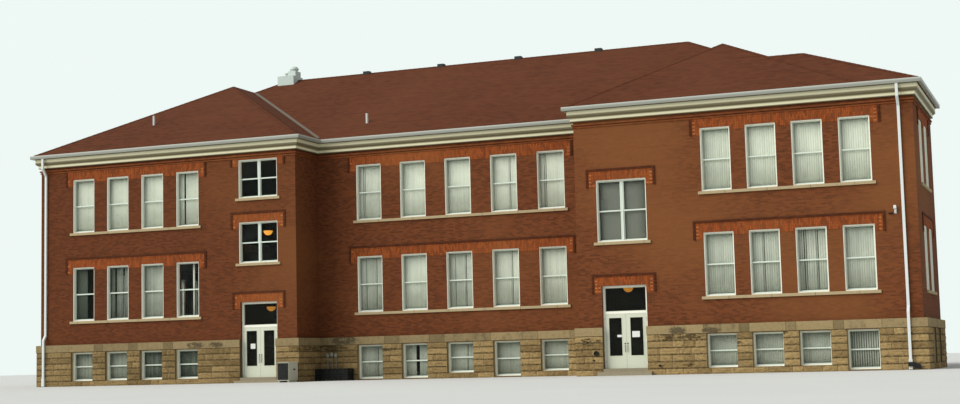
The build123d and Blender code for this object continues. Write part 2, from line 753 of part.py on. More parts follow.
# Chimney: a wide base that rises from the attic floor through the roof, and a narrower stack
chimney_x = MAIN_RIDGE_X[0] + CHIMNEY_RIDGE_SHIFT
chimney_y = MAIN_RIDGE_Y + CHIMNEY_Y_SHIFT
shoulder_z = MAIN_RIDGE_Z + CHIMNEY_RISE
stack_x = chimney_x + (CHIMNEY_WIDTH - STACK_WIDTH) / 2
with BuildPart() as chimney:
    with BuildSketch(Plane.XY.offset(ATTIC_FLOOR_TOP)):
        with Locations((chimney_x, chimney_y)):
            Rectangle(CHIMNEY_WIDTH, CHIMNEY_DEPTH)
    extrude(amount=shoulder_z - ATTIC_FLOOR_TOP)
    with BuildSketch(Plane.XY.offset(shoulder_z)):
        with Locations((stack_x, chimney_y)):
            Rectangle(STACK_WIDTH, STACK_DEPTH)
    extrude(amount=STACK_HEIGHT)
save(chimney, "chimney")

outer_roofs = {name: hip_volume(**shape) for name, shape in ROOF_SHAPES.items()}
bearing = ROOF_OVERHANG + ROOF_BEARING
with BuildPart() as roof_shell:
    add(list(outer_roofs.values()))
    for shape in ROOF_SHAPES.values():
        add(hip_volume(**shape, lower=ROOF_THICKNESS, inset=bearing), mode=Mode.SUBTRACT)

taken = []
for name, volume in outer_roofs.items():
    with BuildPart() as roof:
        add(roof_shell.part)
        add(volume, mode=Mode.INTERSECT)
        add(chimney.part, mode=Mode.SUBTRACT)
        if taken:
            add(taken, mode=Mode.SUBTRACT)
    save(roof, name)
    taken.append(volume)


def flue(place, radius, height, cap_radius, rim, dome):
    """A flue pipe of many flat sides, with an overhanging cap that rises in two slopes."""
    with BuildPart() as pipe:
        with BuildSketch():
            RegularPolygon(radius, FLUE_SIDES)
        extrude(amount=height)
        with BuildSketch(Plane.XY.offset(height)):
            RegularPolygon(cap_radius, FLUE_SIDES)
        extrude(amount=rim)
        with BuildSketch(Plane.XY.offset(height + rim)):
            RegularPolygon(cap_radius, FLUE_SIDES)
        with BuildSketch(Plane.XY.offset(height + rim + dome * CAP_SHOULDER)):
            RegularPolygon(cap_radius * CAP_SHOULDER, FLUE_SIDES)
        with BuildSketch(Plane.XY.offset(height + rim + dome)):
            RegularPolygon(cap_radius * CAP_CROWN, FLUE_SIDES)
        loft(ruled=True)
    return pipe.part.moved(Location(place))


small_x = (chimney_x - CHIMNEY_WIDTH / 2 + stack_x - STACK_WIDTH / 2) / 2
stack_top = (stack_x, chimney_y, shoulder_z + STACK_HEIGHT)
shoulder = (small_x, chimney_y, shoulder_z)
large_cap = (FLUE_CAP_RADIUS, FLUE_CAP_RIM, FLUE_CAP_DOME)
small_cap = (SMALL_CAP_RADIUS, SMALL_CAP_RIM, SMALL_CAP_DOME)
with BuildPart() as flue_pipes:
    add(flue(stack_top, FLUE_RADIUS, FLUE_HEIGHT, *large_cap))
    add(flue(shoulder, SMALL_FLUE_RADIUS, SMALL_FLUE_HEIGHT, *small_cap))
save(flue_pipes, "flue_pipes")

# Valley flashing: a thin sheet lying in each valley between a wing and the main roof
with BuildPart() as roof_mass:
    add(list(outer_roofs.values()))


def valley_strip(corner_x, apex_x, wing_rise):
    """Upright prism over one valley, from the inner eave corner to the wing's ridge."""
    run = abs(corner_x - apex_x)
    depth = wing_rise / ROOF_PITCH
    start = Vector(corner_x, MAIN_EAVE_FRONT)
    end = Vector(apex_x, MAIN_EAVE_FRONT + depth)
    along = (end - start).normalized()
    across = Vector(-along.Y, along.X) * (VALLEY_WIDTH / 2)
    clear = along * VALLEY_WIDTH
    corners = [start + clear - across, end - clear - across, end - clear + across, start + clear + across]
    with BuildPart() as prism:
        with BuildSketch(Plane.XY.offset(WALL_TOP)):
            with BuildLine():
                Polyline(*[(c.X, c.Y) for c in corners], close=True)
            make_face()
        extrude(amount=run)
    return prism.part


VALLEYS = (
    (LEFT_INNER_X + ROOF_OVERHANG, LEFT_APEX_X, LEFT_RISE),
    (RIGHT_INNER_X - ROOF_OVERHANG, RIGHT_APEX_X, RIGHT_RISE),
)
with BuildPart() as valley_flashing:
    add([valley_strip(*valley) for valley in VALLEYS])
    add(roof_mass.part.moved(Location((0, 0, VALLEY_THICKNESS))), mode=Mode.INTERSECT)
    add(roof_mass.part, mode=Mode.SUBTRACT)
save(valley_flashing, "valley_flashing")

# Vents: two soil pipes on the front slopes and the low boxes astride the ridge
VENT_PIPES = (
    (LEFT_EAVE, LEFT_WING_EAVE, LEFT_VENT_RUNS),
    (LEFT_INNER_X, MAIN_EAVE_FRONT, CENTRE_VENT_RUNS),
)
with BuildPart() as roof_vents:
    for left, eave, (across, up) in VENT_PIPES:
        surface = EAVE_EDGE_TOP + ROOF_PITCH * up
        with BuildSketch(Plane.XY.offset(surface - VENT_RADIUS)):
            with Locations((left + across, eave + up)):
                Circle(VENT_RADIUS)
        extrude(amount=VENT_HEIGHT + VENT_RADIUS)
    for index in range(RIDGE_VENT_COUNT):
        with BuildSketch(Plane.XY.offset(MAIN_RIDGE_Z - RIDGE_VENT_HEIGHT)):
            with Locations((MAIN_RIDGE_X[0] + RIDGE_VENT_START + index * RIDGE_VENT_PITCH, MAIN_RIDGE_Y)):
                Rectangle(RIDGE_VENT_LENGTH, RIDGE_VENT_WIDTH)
        extrude(amount=2 * RIDGE_VENT_HEIGHT)
    add(roof_mass.part, mode=Mode.SUBTRACT)
save(roof_vents, "roof_vents")


def downspout(x, front_y):
    """A pipe from the gutter, back to the wall, down it, out over the stone and into a boot."""
    gutter_d = ROOF_OVERHANG + GUTTER_WIDTH / 2
    wall_d = SPOUT_STANDOFF + SPOUT_DEPTH / 2
    stone_d = STONE_PROJECTION + WATER_TABLE_OVERHANG + wall_d
    foot_bend = WATER_TABLE_TOP + SPOUT_FOOT_DROP
    start = (x, front_y - gutter_d, gutter_bottom)
    with BuildPart() as pipe:
        with BuildLine():
            route = Polyline(
                start,
                (x, front_y - gutter_d, CORNICE_BOTTOM - SPOUT_CORNICE_DROP),
                (x, front_y - wall_d, CORBEL_LEVELS[0] - SPOUT_CORBEL_DROP),
                (x, front_y - wall_d, foot_bend + SPOUT_FOOT_DROP),
                (x, front_y - stone_d, foot_bend),
                (x, front_y - stone_d, SPOUT_FOOT),
            )
        with BuildSketch(Plane(start, x_dir=(1, 0, 0), z_dir=(0, 0, -1))):
            Rectangle(SPOUT_WIDTH, SPOUT_DEPTH)
        sweep(path=route, transition=Transition.RIGHT)
        with BuildSketch(Plane.XY.offset(BOOT_BOTTOM)):
            with Locations((x, front_y - stone_d)):
                Rectangle(BOOT_WIDTH, BOOT_DEPTH)
        extrude(amount=SPOUT_FOOT - BOOT_BOTTOM)
    return pipe.part


with BuildPart() as downspouts:
    add(downspout(-HALF_LENGTH + LEFT_SPOUT_MARGIN, LEFT_FRONT_Y))
    add(downspout(HALF_LENGTH - RIGHT_SPOUT_MARGIN, RIGHT_FRONT_Y))
save(downspouts, "downspouts")


def slab(top, thickness, name, wells=True):
    """A floor inside the walls, open over the two stair halls."""
    with BuildPart() as floor:
        with BuildSketch(Plane.XY.offset(top - thickness)):
            with BuildLine():
                Polyline(*OUTLINE, close=True)
            make_face()
            offset(amount=-BRICK_THICKNESS, kind=Kind.INTERSECTION)
            if wells:
                for x, front in ((LEFT_STAIR_X, INNER_LEFT_FRONT_Y), (RIGHT_STAIR_X, INNER_RIGHT_FRONT_Y)):
                    with Locations((x, front + STAIRWELL_DEPTH / 2)):
                        Rectangle(STAIRWELL_WIDTH, STAIRWELL_DEPTH, mode=Mode.SUBTRACT)
        extrude(amount=thickness)
    save(floor, name)


slab(GROUND_FLOOR_TOP, GROUND_FLOOR_TOP, "ground_floor", wells=False)
slab(FIRST_FLOOR_TOP, FLOOR_THICKNESS, "first_floor")
slab(SECOND_FLOOR_TOP, FLOOR_THICKNESS, "second_floor")
slab(ATTIC_FLOOR_TOP, FLOOR_THICKNESS, "attic_floor", wells=False)


def sash_lights(opening):
    """The glazed lights of a window as (middle along the wall, width, bottom, top) for each sash."""
    clear = (opening.width - 2 * FRAME_SIDE - (opening.leaves - 1) * PAIR_MULLION) / opening.leaves
    rail = opening.middle
    lights = []
    for leaf in range(opening.leaves):
        left = opening.left + FRAME_SIDE + leaf * (clear + PAIR_MULLION)
        middle = left + clear / 2
        lights.append((middle, clear, opening.sill + FRAME_SILL, rail - MEETING_RAIL / 2))
        lights.append((middle, clear, rail + MEETING_RAIL / 2, opening.head - FRAME_HEAD))
    return lights


def window_frame(plane, opening):
    """A white window frame with its meeting rail, set back in the wall."""
    with BuildPart() as frame:
        with BuildSketch(plane.offset(-WINDOW_RECESS)):
            with Locations((opening.u, opening.middle)):
                Rectangle(opening.width, opening.height)
            for middle, width, bottom, top in sash_lights(opening):
                with Locations((middle, (bottom + top) / 2)):
                    Rectangle(width, top - bottom, mode=Mode.SUBTRACT)
        extrude(amount=-FRAME_DEPTH)
    return frame.part


def window_panes(plane, opening):
    """One pane in each light, the upper sash nearer the street than the lower one."""
    panes = []
    for index, (middle, width, bottom, top) in enumerate(sash_lights(opening)):
        setback = WINDOW_RECESS + PANE_SETBACK + (0 if index % 2 else SASH_STEP)
        with BuildPart() as pane:
            with BuildSketch(plane.offset(-setback)):
                with Locations((middle, (bottom + top) / 2)):
                    Rectangle(width, top - bottom)
            extrude(amount=-PANE_THICKNESS)
        panes.append(pane.part)
    return panes


WINDOW_SETS = {
    "left_wing": [(LEFT_FRONT, o) for o in every(LEFT_GROUP)],
    "stair": [(LEFT_FRONT, o) for o in LEFT_LANDINGS] + [(RIGHT_FRONT, o) for o in RIGHT_LANDINGS],
    "centre": [(CENTRE_FRONT, o) for o in every(CENTRE_GROUP)],
    "right_wing": [(RIGHT_FRONT, o) for o in every(RIGHT_GROUP)],
    "side_and_rear": [
        (plane, o) for plane, groups in SIDE_GROUPS.values() for rows in groups for o in every(rows)
    ],
}

for name, windows in WINDOW_SETS.items():
    with BuildPart() as frames:
        add([window_frame(plane, opening) for plane, opening in windows])
    save(frames, f"{name}_window_frames")

FRONT_SETS = ("left_wing", "stair", "centre", "right_wing")
GLASS_SETS = {
    "front_glass": [window for name in FRONT_SETS for window in WINDOW_SETS[name]],
    "side_and_rear_glass": WINDOW_SETS["side_and_rear"],
}
for name, windows in GLASS_SETS.items():
    with BuildPart() as panes:
        add([pane for plane, opening in windows for pane in window_panes(plane, opening)])
    save(panes, name)


def hinge_levels(doorway):
    """Heights of the hinge middles on a door."""
    low = doorway.sill + HINGE_MARGIN
    high = TRANSOM_BAR_Z - HINGE_MARGIN
    return [low + (high - low) * i / (HINGE_COUNT - 1) for i in range(HINGE_COUNT)]


def knuckle(plane, u, z_from, z_to, towards):
    """One hinge barrel on its tab, standing in front of the door face beside the jamb gap.

    The many small barrels are twelve-sided, which keeps them light.
    """
    barrel_plane = Plane(plane.from_local_coords(Vector(u, z_from, KNUCKLE_STANDOFF - DOOR_RECESS)))
    with BuildPart() as hinge:
        with BuildSketch(barrel_plane):
            RegularPolygon(KNUCKLE_RADIUS, KNUCKLE_SIDES)
        extrude(amount=z_to - z_from)
        with BuildSketch(plane.offset(-DOOR_RECESS)):
            with Locations((u + towards * (KNUCKLE_RADIUS + LEAF_GAP / 2) / 2, (z_from + z_to) / 2)):
                Rectangle(KNUCKLE_RADIUS - LEAF_GAP / 2, z_to - z_from)
        extrude(amount=KNUCKLE_STANDOFF)
    return hinge.part


def door_frame(plane, doorway):
    """White frame with a transom light over the doors and the fixed hinge barrels."""
    light_bottom = TRANSOM_BAR_Z + TRANSOM_BAR_HEIGHT
    clear = doorway.width - 2 * DOOR_FRAME_SIDE
    with BuildPart() as frame:
        with BuildSketch(plane.offset(-DOOR_RECESS)):
            with Locations((doorway.u, doorway.middle)):
                Rectangle(doorway.width, doorway.height)
            with Locations((doorway.u, (doorway.sill + TRANSOM_BAR_Z) / 2)):
                Rectangle(clear, TRANSOM_BAR_Z - doorway.sill, mode=Mode.SUBTRACT)
            with Locations((doorway.u, (light_bottom + doorway.head - DOOR_FRAME_SIDE) / 2)):
                Rectangle(clear, doorway.head - DOOR_FRAME_SIDE - light_bottom, mode=Mode.SUBTRACT)
        extrude(amount=-DOOR_FRAME_DEPTH)
        for side in (-1, 1):
            pivot = doorway.u + side * (clear / 2 - LEAF_GAP / 2)
            for level in hinge_levels(doorway):
                add(knuckle(plane, pivot, level - KNUCKLE_HEIGHT, level, side))
    return frame


def transom_pane(plane, doorway):
    light_bottom = TRANSOM_BAR_Z + TRANSOM_BAR_HEIGHT
    light_top = doorway.head - DOOR_FRAME_SIDE
    with BuildPart() as pane:
        with BuildSketch(plane.offset(-DOOR_RECESS - DOOR_FRAME_DEPTH / 2)):
            with Locations((doorway.u, (light_bottom + light_top) / 2)):
                Rectangle(doorway.width - 2 * DOOR_FRAME_SIDE, light_top - light_bottom)
        extrude(amount=-PANE_THICKNESS)
    return pane.part


def leaf_sizes(doorway, side):
    """Middle, width, bottom and top of one leaf, and the middle of its tall light."""
    clear = doorway.width - 2 * DOOR_FRAME_SIDE
    width = (clear - 2 * LEAF_GAP - MEETING_GAP) / 2
    middle = doorway.u + side * (MEETING_GAP + width) / 2
    bottom = doorway.sill + LEAF_GAP
    top = TRANSOM_BAR_Z - LEAF_GAP
    light_middle = middle + side * (width / 2 - LITE_SIDE_MARGIN - LITE_WIDTH / 2)
    return middle, width, bottom, top, light_middle


def door_leaf(plane, doorway, side):
    """A panelled door leaf with one tall light and its moving hinge barrels."""
    middle, width, bottom, top, light_middle = leaf_sizes(doorway, side)
    light_height = top - LITE_TOP_MARGIN - (bottom + LITE_BOTTOM)
    with BuildPart() as leaf:
        with BuildSketch(plane.offset(-DOOR_RECESS)):
            with Locations((middle, (bottom + top) / 2)):
                Rectangle(width, top - bottom)
            with Locations((light_middle, bottom + LITE_BOTTOM + light_height / 2)):
                Rectangle(LITE_WIDTH, light_height, mode=Mode.SUBTRACT)
        extrude(amount=-LEAF_THICKNESS)
        pivot = middle + side * (width / 2 + LEAF_GAP / 2)
        for level in hinge_levels(doorway):
            add(knuckle(plane, pivot, level + KNUCKLE_PLAY, level + KNUCKLE_HEIGHT, -side))
    return leaf


def leaf_glass(plane, doorway, side):
    """The pane of a leaf's tall light."""
    middle, width, bottom, top, light_middle = leaf_sizes(doorway, side)
    light_height = top - LITE_TOP_MARGIN - (bottom + LITE_BOTTOM)
    with BuildPart() as pane:
        with BuildSketch(plane.offset(-DOOR_RECESS - (LEAF_THICKNESS - LITE_GLASS) / 2)):
            with Locations((light_middle, bottom + LITE_BOTTOM + light_height / 2)):
                Rectangle(LITE_WIDTH, light_height)
        extrude(amount=-LITE_GLASS)
    return pane


def door_step(plane, doorway, name):
    """Threshold between the jambs, with a low step in front of the wall."""
    with BuildPart() as step:
        with BuildSketch(plane.offset(STONE_PROJECTION)):
            with Locations((doorway.u, doorway.sill / 2)):
                Rectangle(doorway.width, doorway.sill)
        extrude(amount=-(STONE_PROJECTION + BRICK_THICKNESS))
        with BuildSketch(plane.offset(STONE_PROJECTION)):
            with Locations((doorway.u, (doorway.sill - STEP_DROP) / 2)):
                Rectangle(doorway.width + 2 * STEP_SIDE, doorway.sill - STEP_DROP)
        extrude(amount=STEP_PROJECTION - STONE_PROJECTION)
    save(step, name)


for name, plane, doorway in (("left", LEFT_FRONT, LEFT_DOORWAY), ("right", RIGHT_FRONT, RIGHT_DOORWAY)):
    save(door_frame(plane, doorway), f"{name}_door_frame")
    door_step(plane, doorway, f"{name}_door_step")
    for side_name, side in (("left_leaf", -1), ("right_leaf", 1)):
        save(door_leaf(plane, doorway, side), f"{name}_door_{side_name}")
        save(leaf_glass(plane, doorway, side), f"{name}_door_{side_name}_glass")

with BuildPart() as transom_glass:
    add(transom_pane(LEFT_FRONT, LEFT_DOORWAY))
    add(transom_pane(RIGHT_FRONT, RIGHT_DOORWAY))
save(transom_glass, "transom_glass")
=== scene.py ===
import logging
import math
import random
from dataclasses import dataclass, field
from enum import Enum
from typing import Callable, ClassVar, Iterator, Sequence

import bmesh
import bpy
import numpy as np
from mathutils import Matrix, Vector


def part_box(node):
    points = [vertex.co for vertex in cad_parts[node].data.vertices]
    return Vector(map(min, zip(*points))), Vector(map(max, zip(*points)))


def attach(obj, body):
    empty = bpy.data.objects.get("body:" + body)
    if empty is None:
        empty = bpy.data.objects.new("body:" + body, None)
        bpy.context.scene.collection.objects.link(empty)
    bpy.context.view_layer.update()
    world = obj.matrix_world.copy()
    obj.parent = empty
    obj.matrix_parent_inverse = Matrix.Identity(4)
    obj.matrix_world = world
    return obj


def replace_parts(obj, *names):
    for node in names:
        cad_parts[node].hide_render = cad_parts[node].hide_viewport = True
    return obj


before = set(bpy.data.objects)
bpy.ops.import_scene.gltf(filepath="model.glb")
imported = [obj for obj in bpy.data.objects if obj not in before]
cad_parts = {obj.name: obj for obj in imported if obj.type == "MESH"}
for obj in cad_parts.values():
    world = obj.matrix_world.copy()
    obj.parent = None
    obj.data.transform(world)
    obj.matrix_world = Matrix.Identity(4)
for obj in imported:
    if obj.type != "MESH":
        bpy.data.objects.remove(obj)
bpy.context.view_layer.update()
LOG = logging.getLogger("school")
BUILDING = "building"
SEED = 1907
TO_FRONT = (math.radians(90), 0, 0)
LEFT_WING = "left_wing_window_frames"
STAIRS = "stair_window_frames"
CENTRE = "centre_window_frames"
RIGHT_WING = "right_wing_window_frames"
OTHERS = "side_and_rear_window_frames"

Place = Sequence[float]
Pair = tuple[float, float]
Point = tuple[float, float, float]
Colour = Point
Box = tuple[Vector, Vector]
MADE: dict[str, bpy.types.Material] = {}


class Term:
    """A shader value that grows Math nodes as it is used in expressions."""

    def __init__(self, net: "Net", socket: bpy.types.NodeSocket) -> None:
        """Wrap an output socket of a net."""
        self.net = net
        self.socket = socket

    def __add__(self, other: "Term | float") -> "Term":
        """Add a value."""
        return self.net.maths("ADD", self, other)

    def __sub__(self, other: "Term | float") -> "Term":
        """Take a value away."""
        return self.net.maths("SUBTRACT", self, other)

    def __rsub__(self, other: "Term | float") -> "Term":
        """Take this away from a value."""
        return self.net.maths("SUBTRACT", other, self)

    def __mul__(self, other: "Term | float") -> "Term":
        """Multiply by a value."""
        return self.net.maths("MULTIPLY", self, other)

    def __truediv__(self, other: "Term | float") -> "Term":
        """Divide by a value."""
        return self.net.maths("DIVIDE", self, other)

    __radd__ = __add__
    __rmul__ = __mul__

    def between(self, low: float, high: float) -> "Term":
        """Turn the value into a smooth step.

        Args:
            low: Value that becomes 0.
            high: Value that becomes 1.

        Returns:
            The step.
        """
        settings = {"interpolation_type": "SMOOTHSTEP"}
        inputs = {"Value": self, "From Min": low, "From Max": high, "To Min": 0.0, "To Max": 1.0}
        return Term(self.net, self.net.node("ShaderNodeMapRange", settings, inputs).outputs["Result"])

    def fraction(self) -> "Term":
        """The part after the decimal point."""
        return self.net.maths("FRACT", self)


class Net:
    """The node tree of one material, or of the sky."""

    def __init__(self, name: str, home: bpy.types.bpy_prop_collection | None = None) -> None:
        """Start an empty tree.

        Args:
            name: Name of the material or the sky.
            home: The collection that it is made in, or None for the materials.
        """
        self.owner = (bpy.data.materials if home is None else home).new(name)
        self.owner.use_nodes = True
        self.tree = self.owner.node_tree
        self.tree.nodes.clear()
        self.place = self.node("ShaderNodeTexCoord").outputs["Object"]
        split = self.node("ShaderNodeSeparateXYZ", {}, {"Vector": self.place})
        self.x, self.y, self.z = (Term(self, split.outputs[axis]) for axis in "XYZ")

    def node(self, kind: str, settings: dict | None = None, inputs: dict | None = None) -> bpy.types.Node:
        """Add one node.

        Args:
            kind: The node's type.
            settings: Its properties.
            inputs: Values or links of its sockets, by name or index.

        Returns:
            The new node.
        """
        node = self.tree.nodes.new(kind)
        for key, value in (settings or {}).items():
            setattr(node, key, value)
        for key, value in (inputs or {}).items():
            self.feed(node.inputs[key], value)
        return node

    def feed(self, socket: bpy.types.NodeSocket, value: object) -> None:
        """Link or set one input socket.

        Args:
            socket: The socket.
            value: A term or an output to link, or a plain value.
        """
        if isinstance(value, Term):
            value = value.socket
        if isinstance(value, bpy.types.NodeSocket):
            self.tree.links.new(value, socket)
        elif isinstance(value, tuple) and socket.type == "RGBA":
            socket.default_value = (*value, 1.0)
        else:
            socket.default_value = value

    def maths(self, operation: str, *values: "Term | float") -> Term:
        """Add a Math node on one or two values."""
        node = self.node("ShaderNodeMath", {"operation": operation}, dict(enumerate(values)))
        return Term(self, node.outputs[0])

    def vector(self, x: "Term | float", y: "Term | float", z: "Term | float" = 0.0) -> bpy.types.NodeSocket:
        """Join three values into a vector."""
        return self.node("ShaderNodeCombineXYZ", {}, {"X": x, "Y": y, "Z": z}).outputs[0]

    def noise(self, scale: float, detail: float = 4.0, roughness: float = 0.55, at: object = None) -> Term:
        """A noise value about 0.5.

        Args:
            scale: Features per metre.
            detail: Octaves.
            roughness: Weight of the fine octaves.
            at: Vector to read, or None for the object's own coordinates.

        Returns:
            The noise.
        """
        inputs = {"Vector": at or self.place, "Scale": scale, "Detail": detail, "Roughness": roughness}
        return Term(self, self.node("ShaderNodeTexNoise", {}, inputs).outputs["Fac"])

    def mix(self, factor: "Term | float", first: object, second: object) -> bpy.types.NodeSocket:
        """Blend two colours, each plain or linked, by a factor."""
        inputs = {0: factor, 6: first, 7: second}
        return self.node("ShaderNodeMix", {"data_type": "RGBA"}, inputs).outputs[2]

    def bricks(
        self,
        at: bpy.types.NodeSocket,
        colours: tuple[Colour, Colour, Colour],
        size: Pair,
        gap: float,
        offset: float = 0.5,
        **more: float,
    ) -> bpy.types.Node:
        """Add a pattern of bricks, tabs, boards or slabs.

        Args:
            at: Vector to read.
            colours: Colours of most bricks, of the others and of the joints.
            size: Length and height of a brick with its joint.
            gap: Width of a joint.
            offset: Shift from row to row, as a share of the length.
            more: Other sockets of the node, with _ for a space.

        Returns:
            The node.
        """
        inputs = {"Vector": at, "Scale": 1.0, "Mortar Size": gap}
        inputs.update(zip(("Brick Width", "Row Height"), size))
        inputs.update(zip(("Color1", "Color2", "Mortar"), colours))
        inputs.update({key.replace("_", " "): value for key, value in more.items()})
        return self.node("ShaderNodeTexBrick", {"offset": offset}, inputs)

    def near(self, spot: Point, core: float = 0.0, across: float = 1.0) -> Term:
        """How near the surface is to a spot on the front.

        Args:
            spot: The spot's x, z and radius.
            core: Share of the radius within which the value stays 1.
            across: Weight of the distance along x, which a flat spot has below 1.

        Returns:
            A value from 1 on the spot to 0 at its radius.
        """
        x, z, radius = spot
        aside, above = self.x - x, self.z - z
        away = self.maths("SQRT", aside * aside * across + above * above)
        return away.between(radius, radius * core)

    def tone(self) -> Term:
        """The random value that each copy of a repeated shape carries."""
        node = self.node("ShaderNodeAttribute", {"attribute_name": "tone"})
        return Term(self, node.outputs["Fac"])

    def surface(
        self,
        colour: object,
        roughness: "Term | float",
        height: Term | None = None,
        depth: float = 0.004,
        strength: float = 0.6,
        **constants: float,
    ) -> bpy.types.Material:
        """End the tree in a shader.

        Args:
            colour: Base colour, plain or linked.
            roughness: Roughness, plain or linked.
            height: Relief that the bump reads, or None.
            depth: Height of the relief in metres.
            strength: Strength of the bump.
            constants: Other sockets of the shader, with _ for a space.

        Returns:
            The finished material.
        """
        inputs = {"Base Color": colour, "Roughness": roughness, "Specular IOR Level": 0.15}
        inputs.update({key.replace("_", " "): value for key, value in constants.items()})
        if height is not None:
            relief = {"Height": height, "Distance": depth, "Strength": strength}
            inputs["Normal"] = self.node("ShaderNodeBump", {}, relief).outputs[0]
        shader = self.node("ShaderNodeBsdfPrincipled", {}, inputs)
        self.node("ShaderNodeOutputMaterial", {}, {"Surface": shader.outputs[0]})
        return self.owner


@dataclass(frozen=True)
class Recipe:
    """What a finish is made of.

    Attributes:
        name: Name of the material.
    """

    name: str

    def build(self) -> bpy.types.Material:
        """Make the material.

        Returns:
            The material.
        """
        raise NotImplementedError(self.name)


@dataclass(frozen=True)
class BrickFinish(Recipe):
    """Brickwork in running bond, with weathering in large soft patches and painted shade towards the left
    end.

    Attributes:
        bright: Colour of the redder bricks.
        dull: Colour of the darker bricks.
        mortar: Colour of the joints.
        weathered: Colour that the patches turn to.
        patches: Share of the wall that is weathered, from 0 to 1.
        upright: Whether the bricks stand on end.
        spots: Places where the wall turns paler, towards the weathered colour: x, z and radius.
        left_shade: How much darker the wall is towards the left end, as painted shade.
        length: Length of a brick with its joint.
        course: Height of a course.
        joint: Width of a joint.
    """

    bright: Colour
    dull: Colour
    mortar: Colour
    weathered: Colour
    patches: float = 0.5
    upright: bool = False
    spots: tuple[Point, ...] = ()
    left_shade: float = 0.0
    length: float = 0.203
    course: float = 0.0677
    joint: float = 0.006

    def build(self) -> bpy.types.Material:
        """Make the material."""
        net = Net(self.name)
        along = net.x + net.y
        at = net.vector(net.z, along) if self.upright else net.vector(along, net.z)
        colours = (self.bright, self.dull, self.mortar)
        size = (self.length, self.course)
        bricks = net.bricks(at, colours, size, self.joint, Mortar_Smooth=0.3, Bias=-0.15)
        streaks = net.noise(1.0, 6.0, 0.62, net.vector(along * 5.0, net.z * 19.0, along * 0.1))
        clouds = net.noise(0.2, 3.0, 0.5)
        wear = streaks * 0.2 + clouds * 0.8
        for spot in self.spots:
            wear = wear + net.near(spot) * 0.2
        worn = wear.between(0.62 - self.patches * 0.3, 0.95 - self.patches * 0.3)
        base = net.mix(worn * 0.8, bricks.outputs["Color"], self.weathered)
        # Painted shade, deepening towards the left end.
        if self.left_shade:
            base = net.mix(net.x.between(10.0, -20.0) * self.left_shade, base, self.dull)
        rows = net.noise(1.0, 2.0, 0.5, net.vector(along * 0.7, net.z * 15.0))
        base = net.mix(rows.between(0.5, 0.75) * 0.16, base, self.dull)
        speckle = net.noise(31.0, 2.0, 0.6)
        base = net.mix(speckle.between(0.5, 0.85) * 0.35, base, self.dull)
        relief = (1.0 - Term(net, bricks.outputs["Fac"])) + speckle * 0.25
        return net.surface(base, 0.9 - speckle * 0.1, relief, 0.004, 0.5, Specular_IOR_Level=0.06)


@dataclass(frozen=True)
class StoneFinish(Recipe):
    """Buff limestone with dark weathering, and painted shade in its hollows, along its courses and towards
    the left end.

    Attributes:
        light: Colour of the clean stone.
        warm: Colour of the yellower and darker blocks.
        stain_and_shade: Colour of the stains, the joints and the painted shade.
        stained: Amount of staining, from 0 to 1.
        slab: Length of a dressed slab, or 0 where the stone has no joints of its own.
        relief: Depth of the face's own relief.
        hollow_shade: How dark the painted shade in its hollows is, from 0 to 1.
        course: Height of a course whose top and bottom edges get painted shadow, or 0.
        spots: Places with dark stains: x, z and radius.
        left_shade: How much darker, with painted shade, the stone is towards the left end.
        TALL: Height of the slabs' pattern, which keeps its level joints off the building.
    """

    TALL: ClassVar[float] = 40.0

    light: Colour
    warm: Colour
    stain_and_shade: Colour
    stained: float = 0.4
    slab: float = 0.0
    relief: float = 0.012
    hollow_shade: float = 0.25
    course: float = 0.0
    spots: tuple[Point, ...] = ()
    left_shade: float = 0.0

    def build(self) -> bpy.types.Material:
        """Make the material."""
        net = Net(self.name)
        along = net.x + net.y
        tone = net.tone()
        grain = net.noise(7.0, 6.0, 0.68)
        chips = net.noise(1.0, 4.0, 0.62, net.vector(along * 11.0, net.z * 21.0))
        fine = net.noise(60.0, 3.0, 0.6)
        base = net.mix((tone * 0.6 + grain * 0.6).between(0.2, 1.1), self.light, self.warm)
        # Painted shade, deepening towards the left end.
        if self.left_shade:
            base = net.mix(net.x.between(6.0, -8.0) * self.left_shade, base, self.stain_and_shade)
        clouds = net.noise(0.6, 4.0, 0.6)
        runs = net.noise(1.0, 5.0, 0.72, net.vector(along * 2.6, net.z * 1.2))
        dirt = clouds * 0.5 + runs * 0.5
        streaks = net.noise(1.0, 5.0, 0.7, net.vector(along * 2.2, net.z * 9.0)) * 0.6 + chips * 0.4
        for spot in self.spots:
            dirt = dirt + net.near(spot, 0.3, 0.1) * (streaks.between(0.38, 0.6) * 0.42)
        dark = dirt.between(0.72 - 0.3 * self.stained, 0.92 - 0.3 * self.stained)
        base = net.mix(dark * 0.8, base, self.stain_and_shade)
        # Painted shade in the hollows of the rough face.
        base = net.mix((grain * 0.5 + chips * 0.5).between(0.5, 0.68) * self.hollow_shade, base, self.stain_and_shade)
        base = net.mix(fine.between(0.45, 0.8) * 0.25, base, self.stain_and_shade)
        relief = grain * 0.5 + chips * 0.38 + fine * 0.12
        # Painted shadow along the top and bottom edges of each course.
        if self.course:
            level = ((net.z + 0.04) / self.course).fraction()
            edge = level.between(0.22, 0.08) + level.between(0.86, 0.99)
            base = net.mix(edge * chips.between(0.36, 0.56) * 0.85, base, self.stain_and_shade)
        if self.slab:
            colours = (self.light, self.warm, self.stain_and_shade)
            slabs = net.bricks(net.vector(along, net.z), colours, (self.slab, self.TALL), 0.009, 0.0)
            joint = Term(net, slabs.outputs["Fac"])
            base = net.mix(joint * 0.8, base, self.stain_and_shade)
            relief = relief - joint
        return net.surface(base, 0.88, relief, self.relief, 0.9, Specular_IOR_Level=0.08)


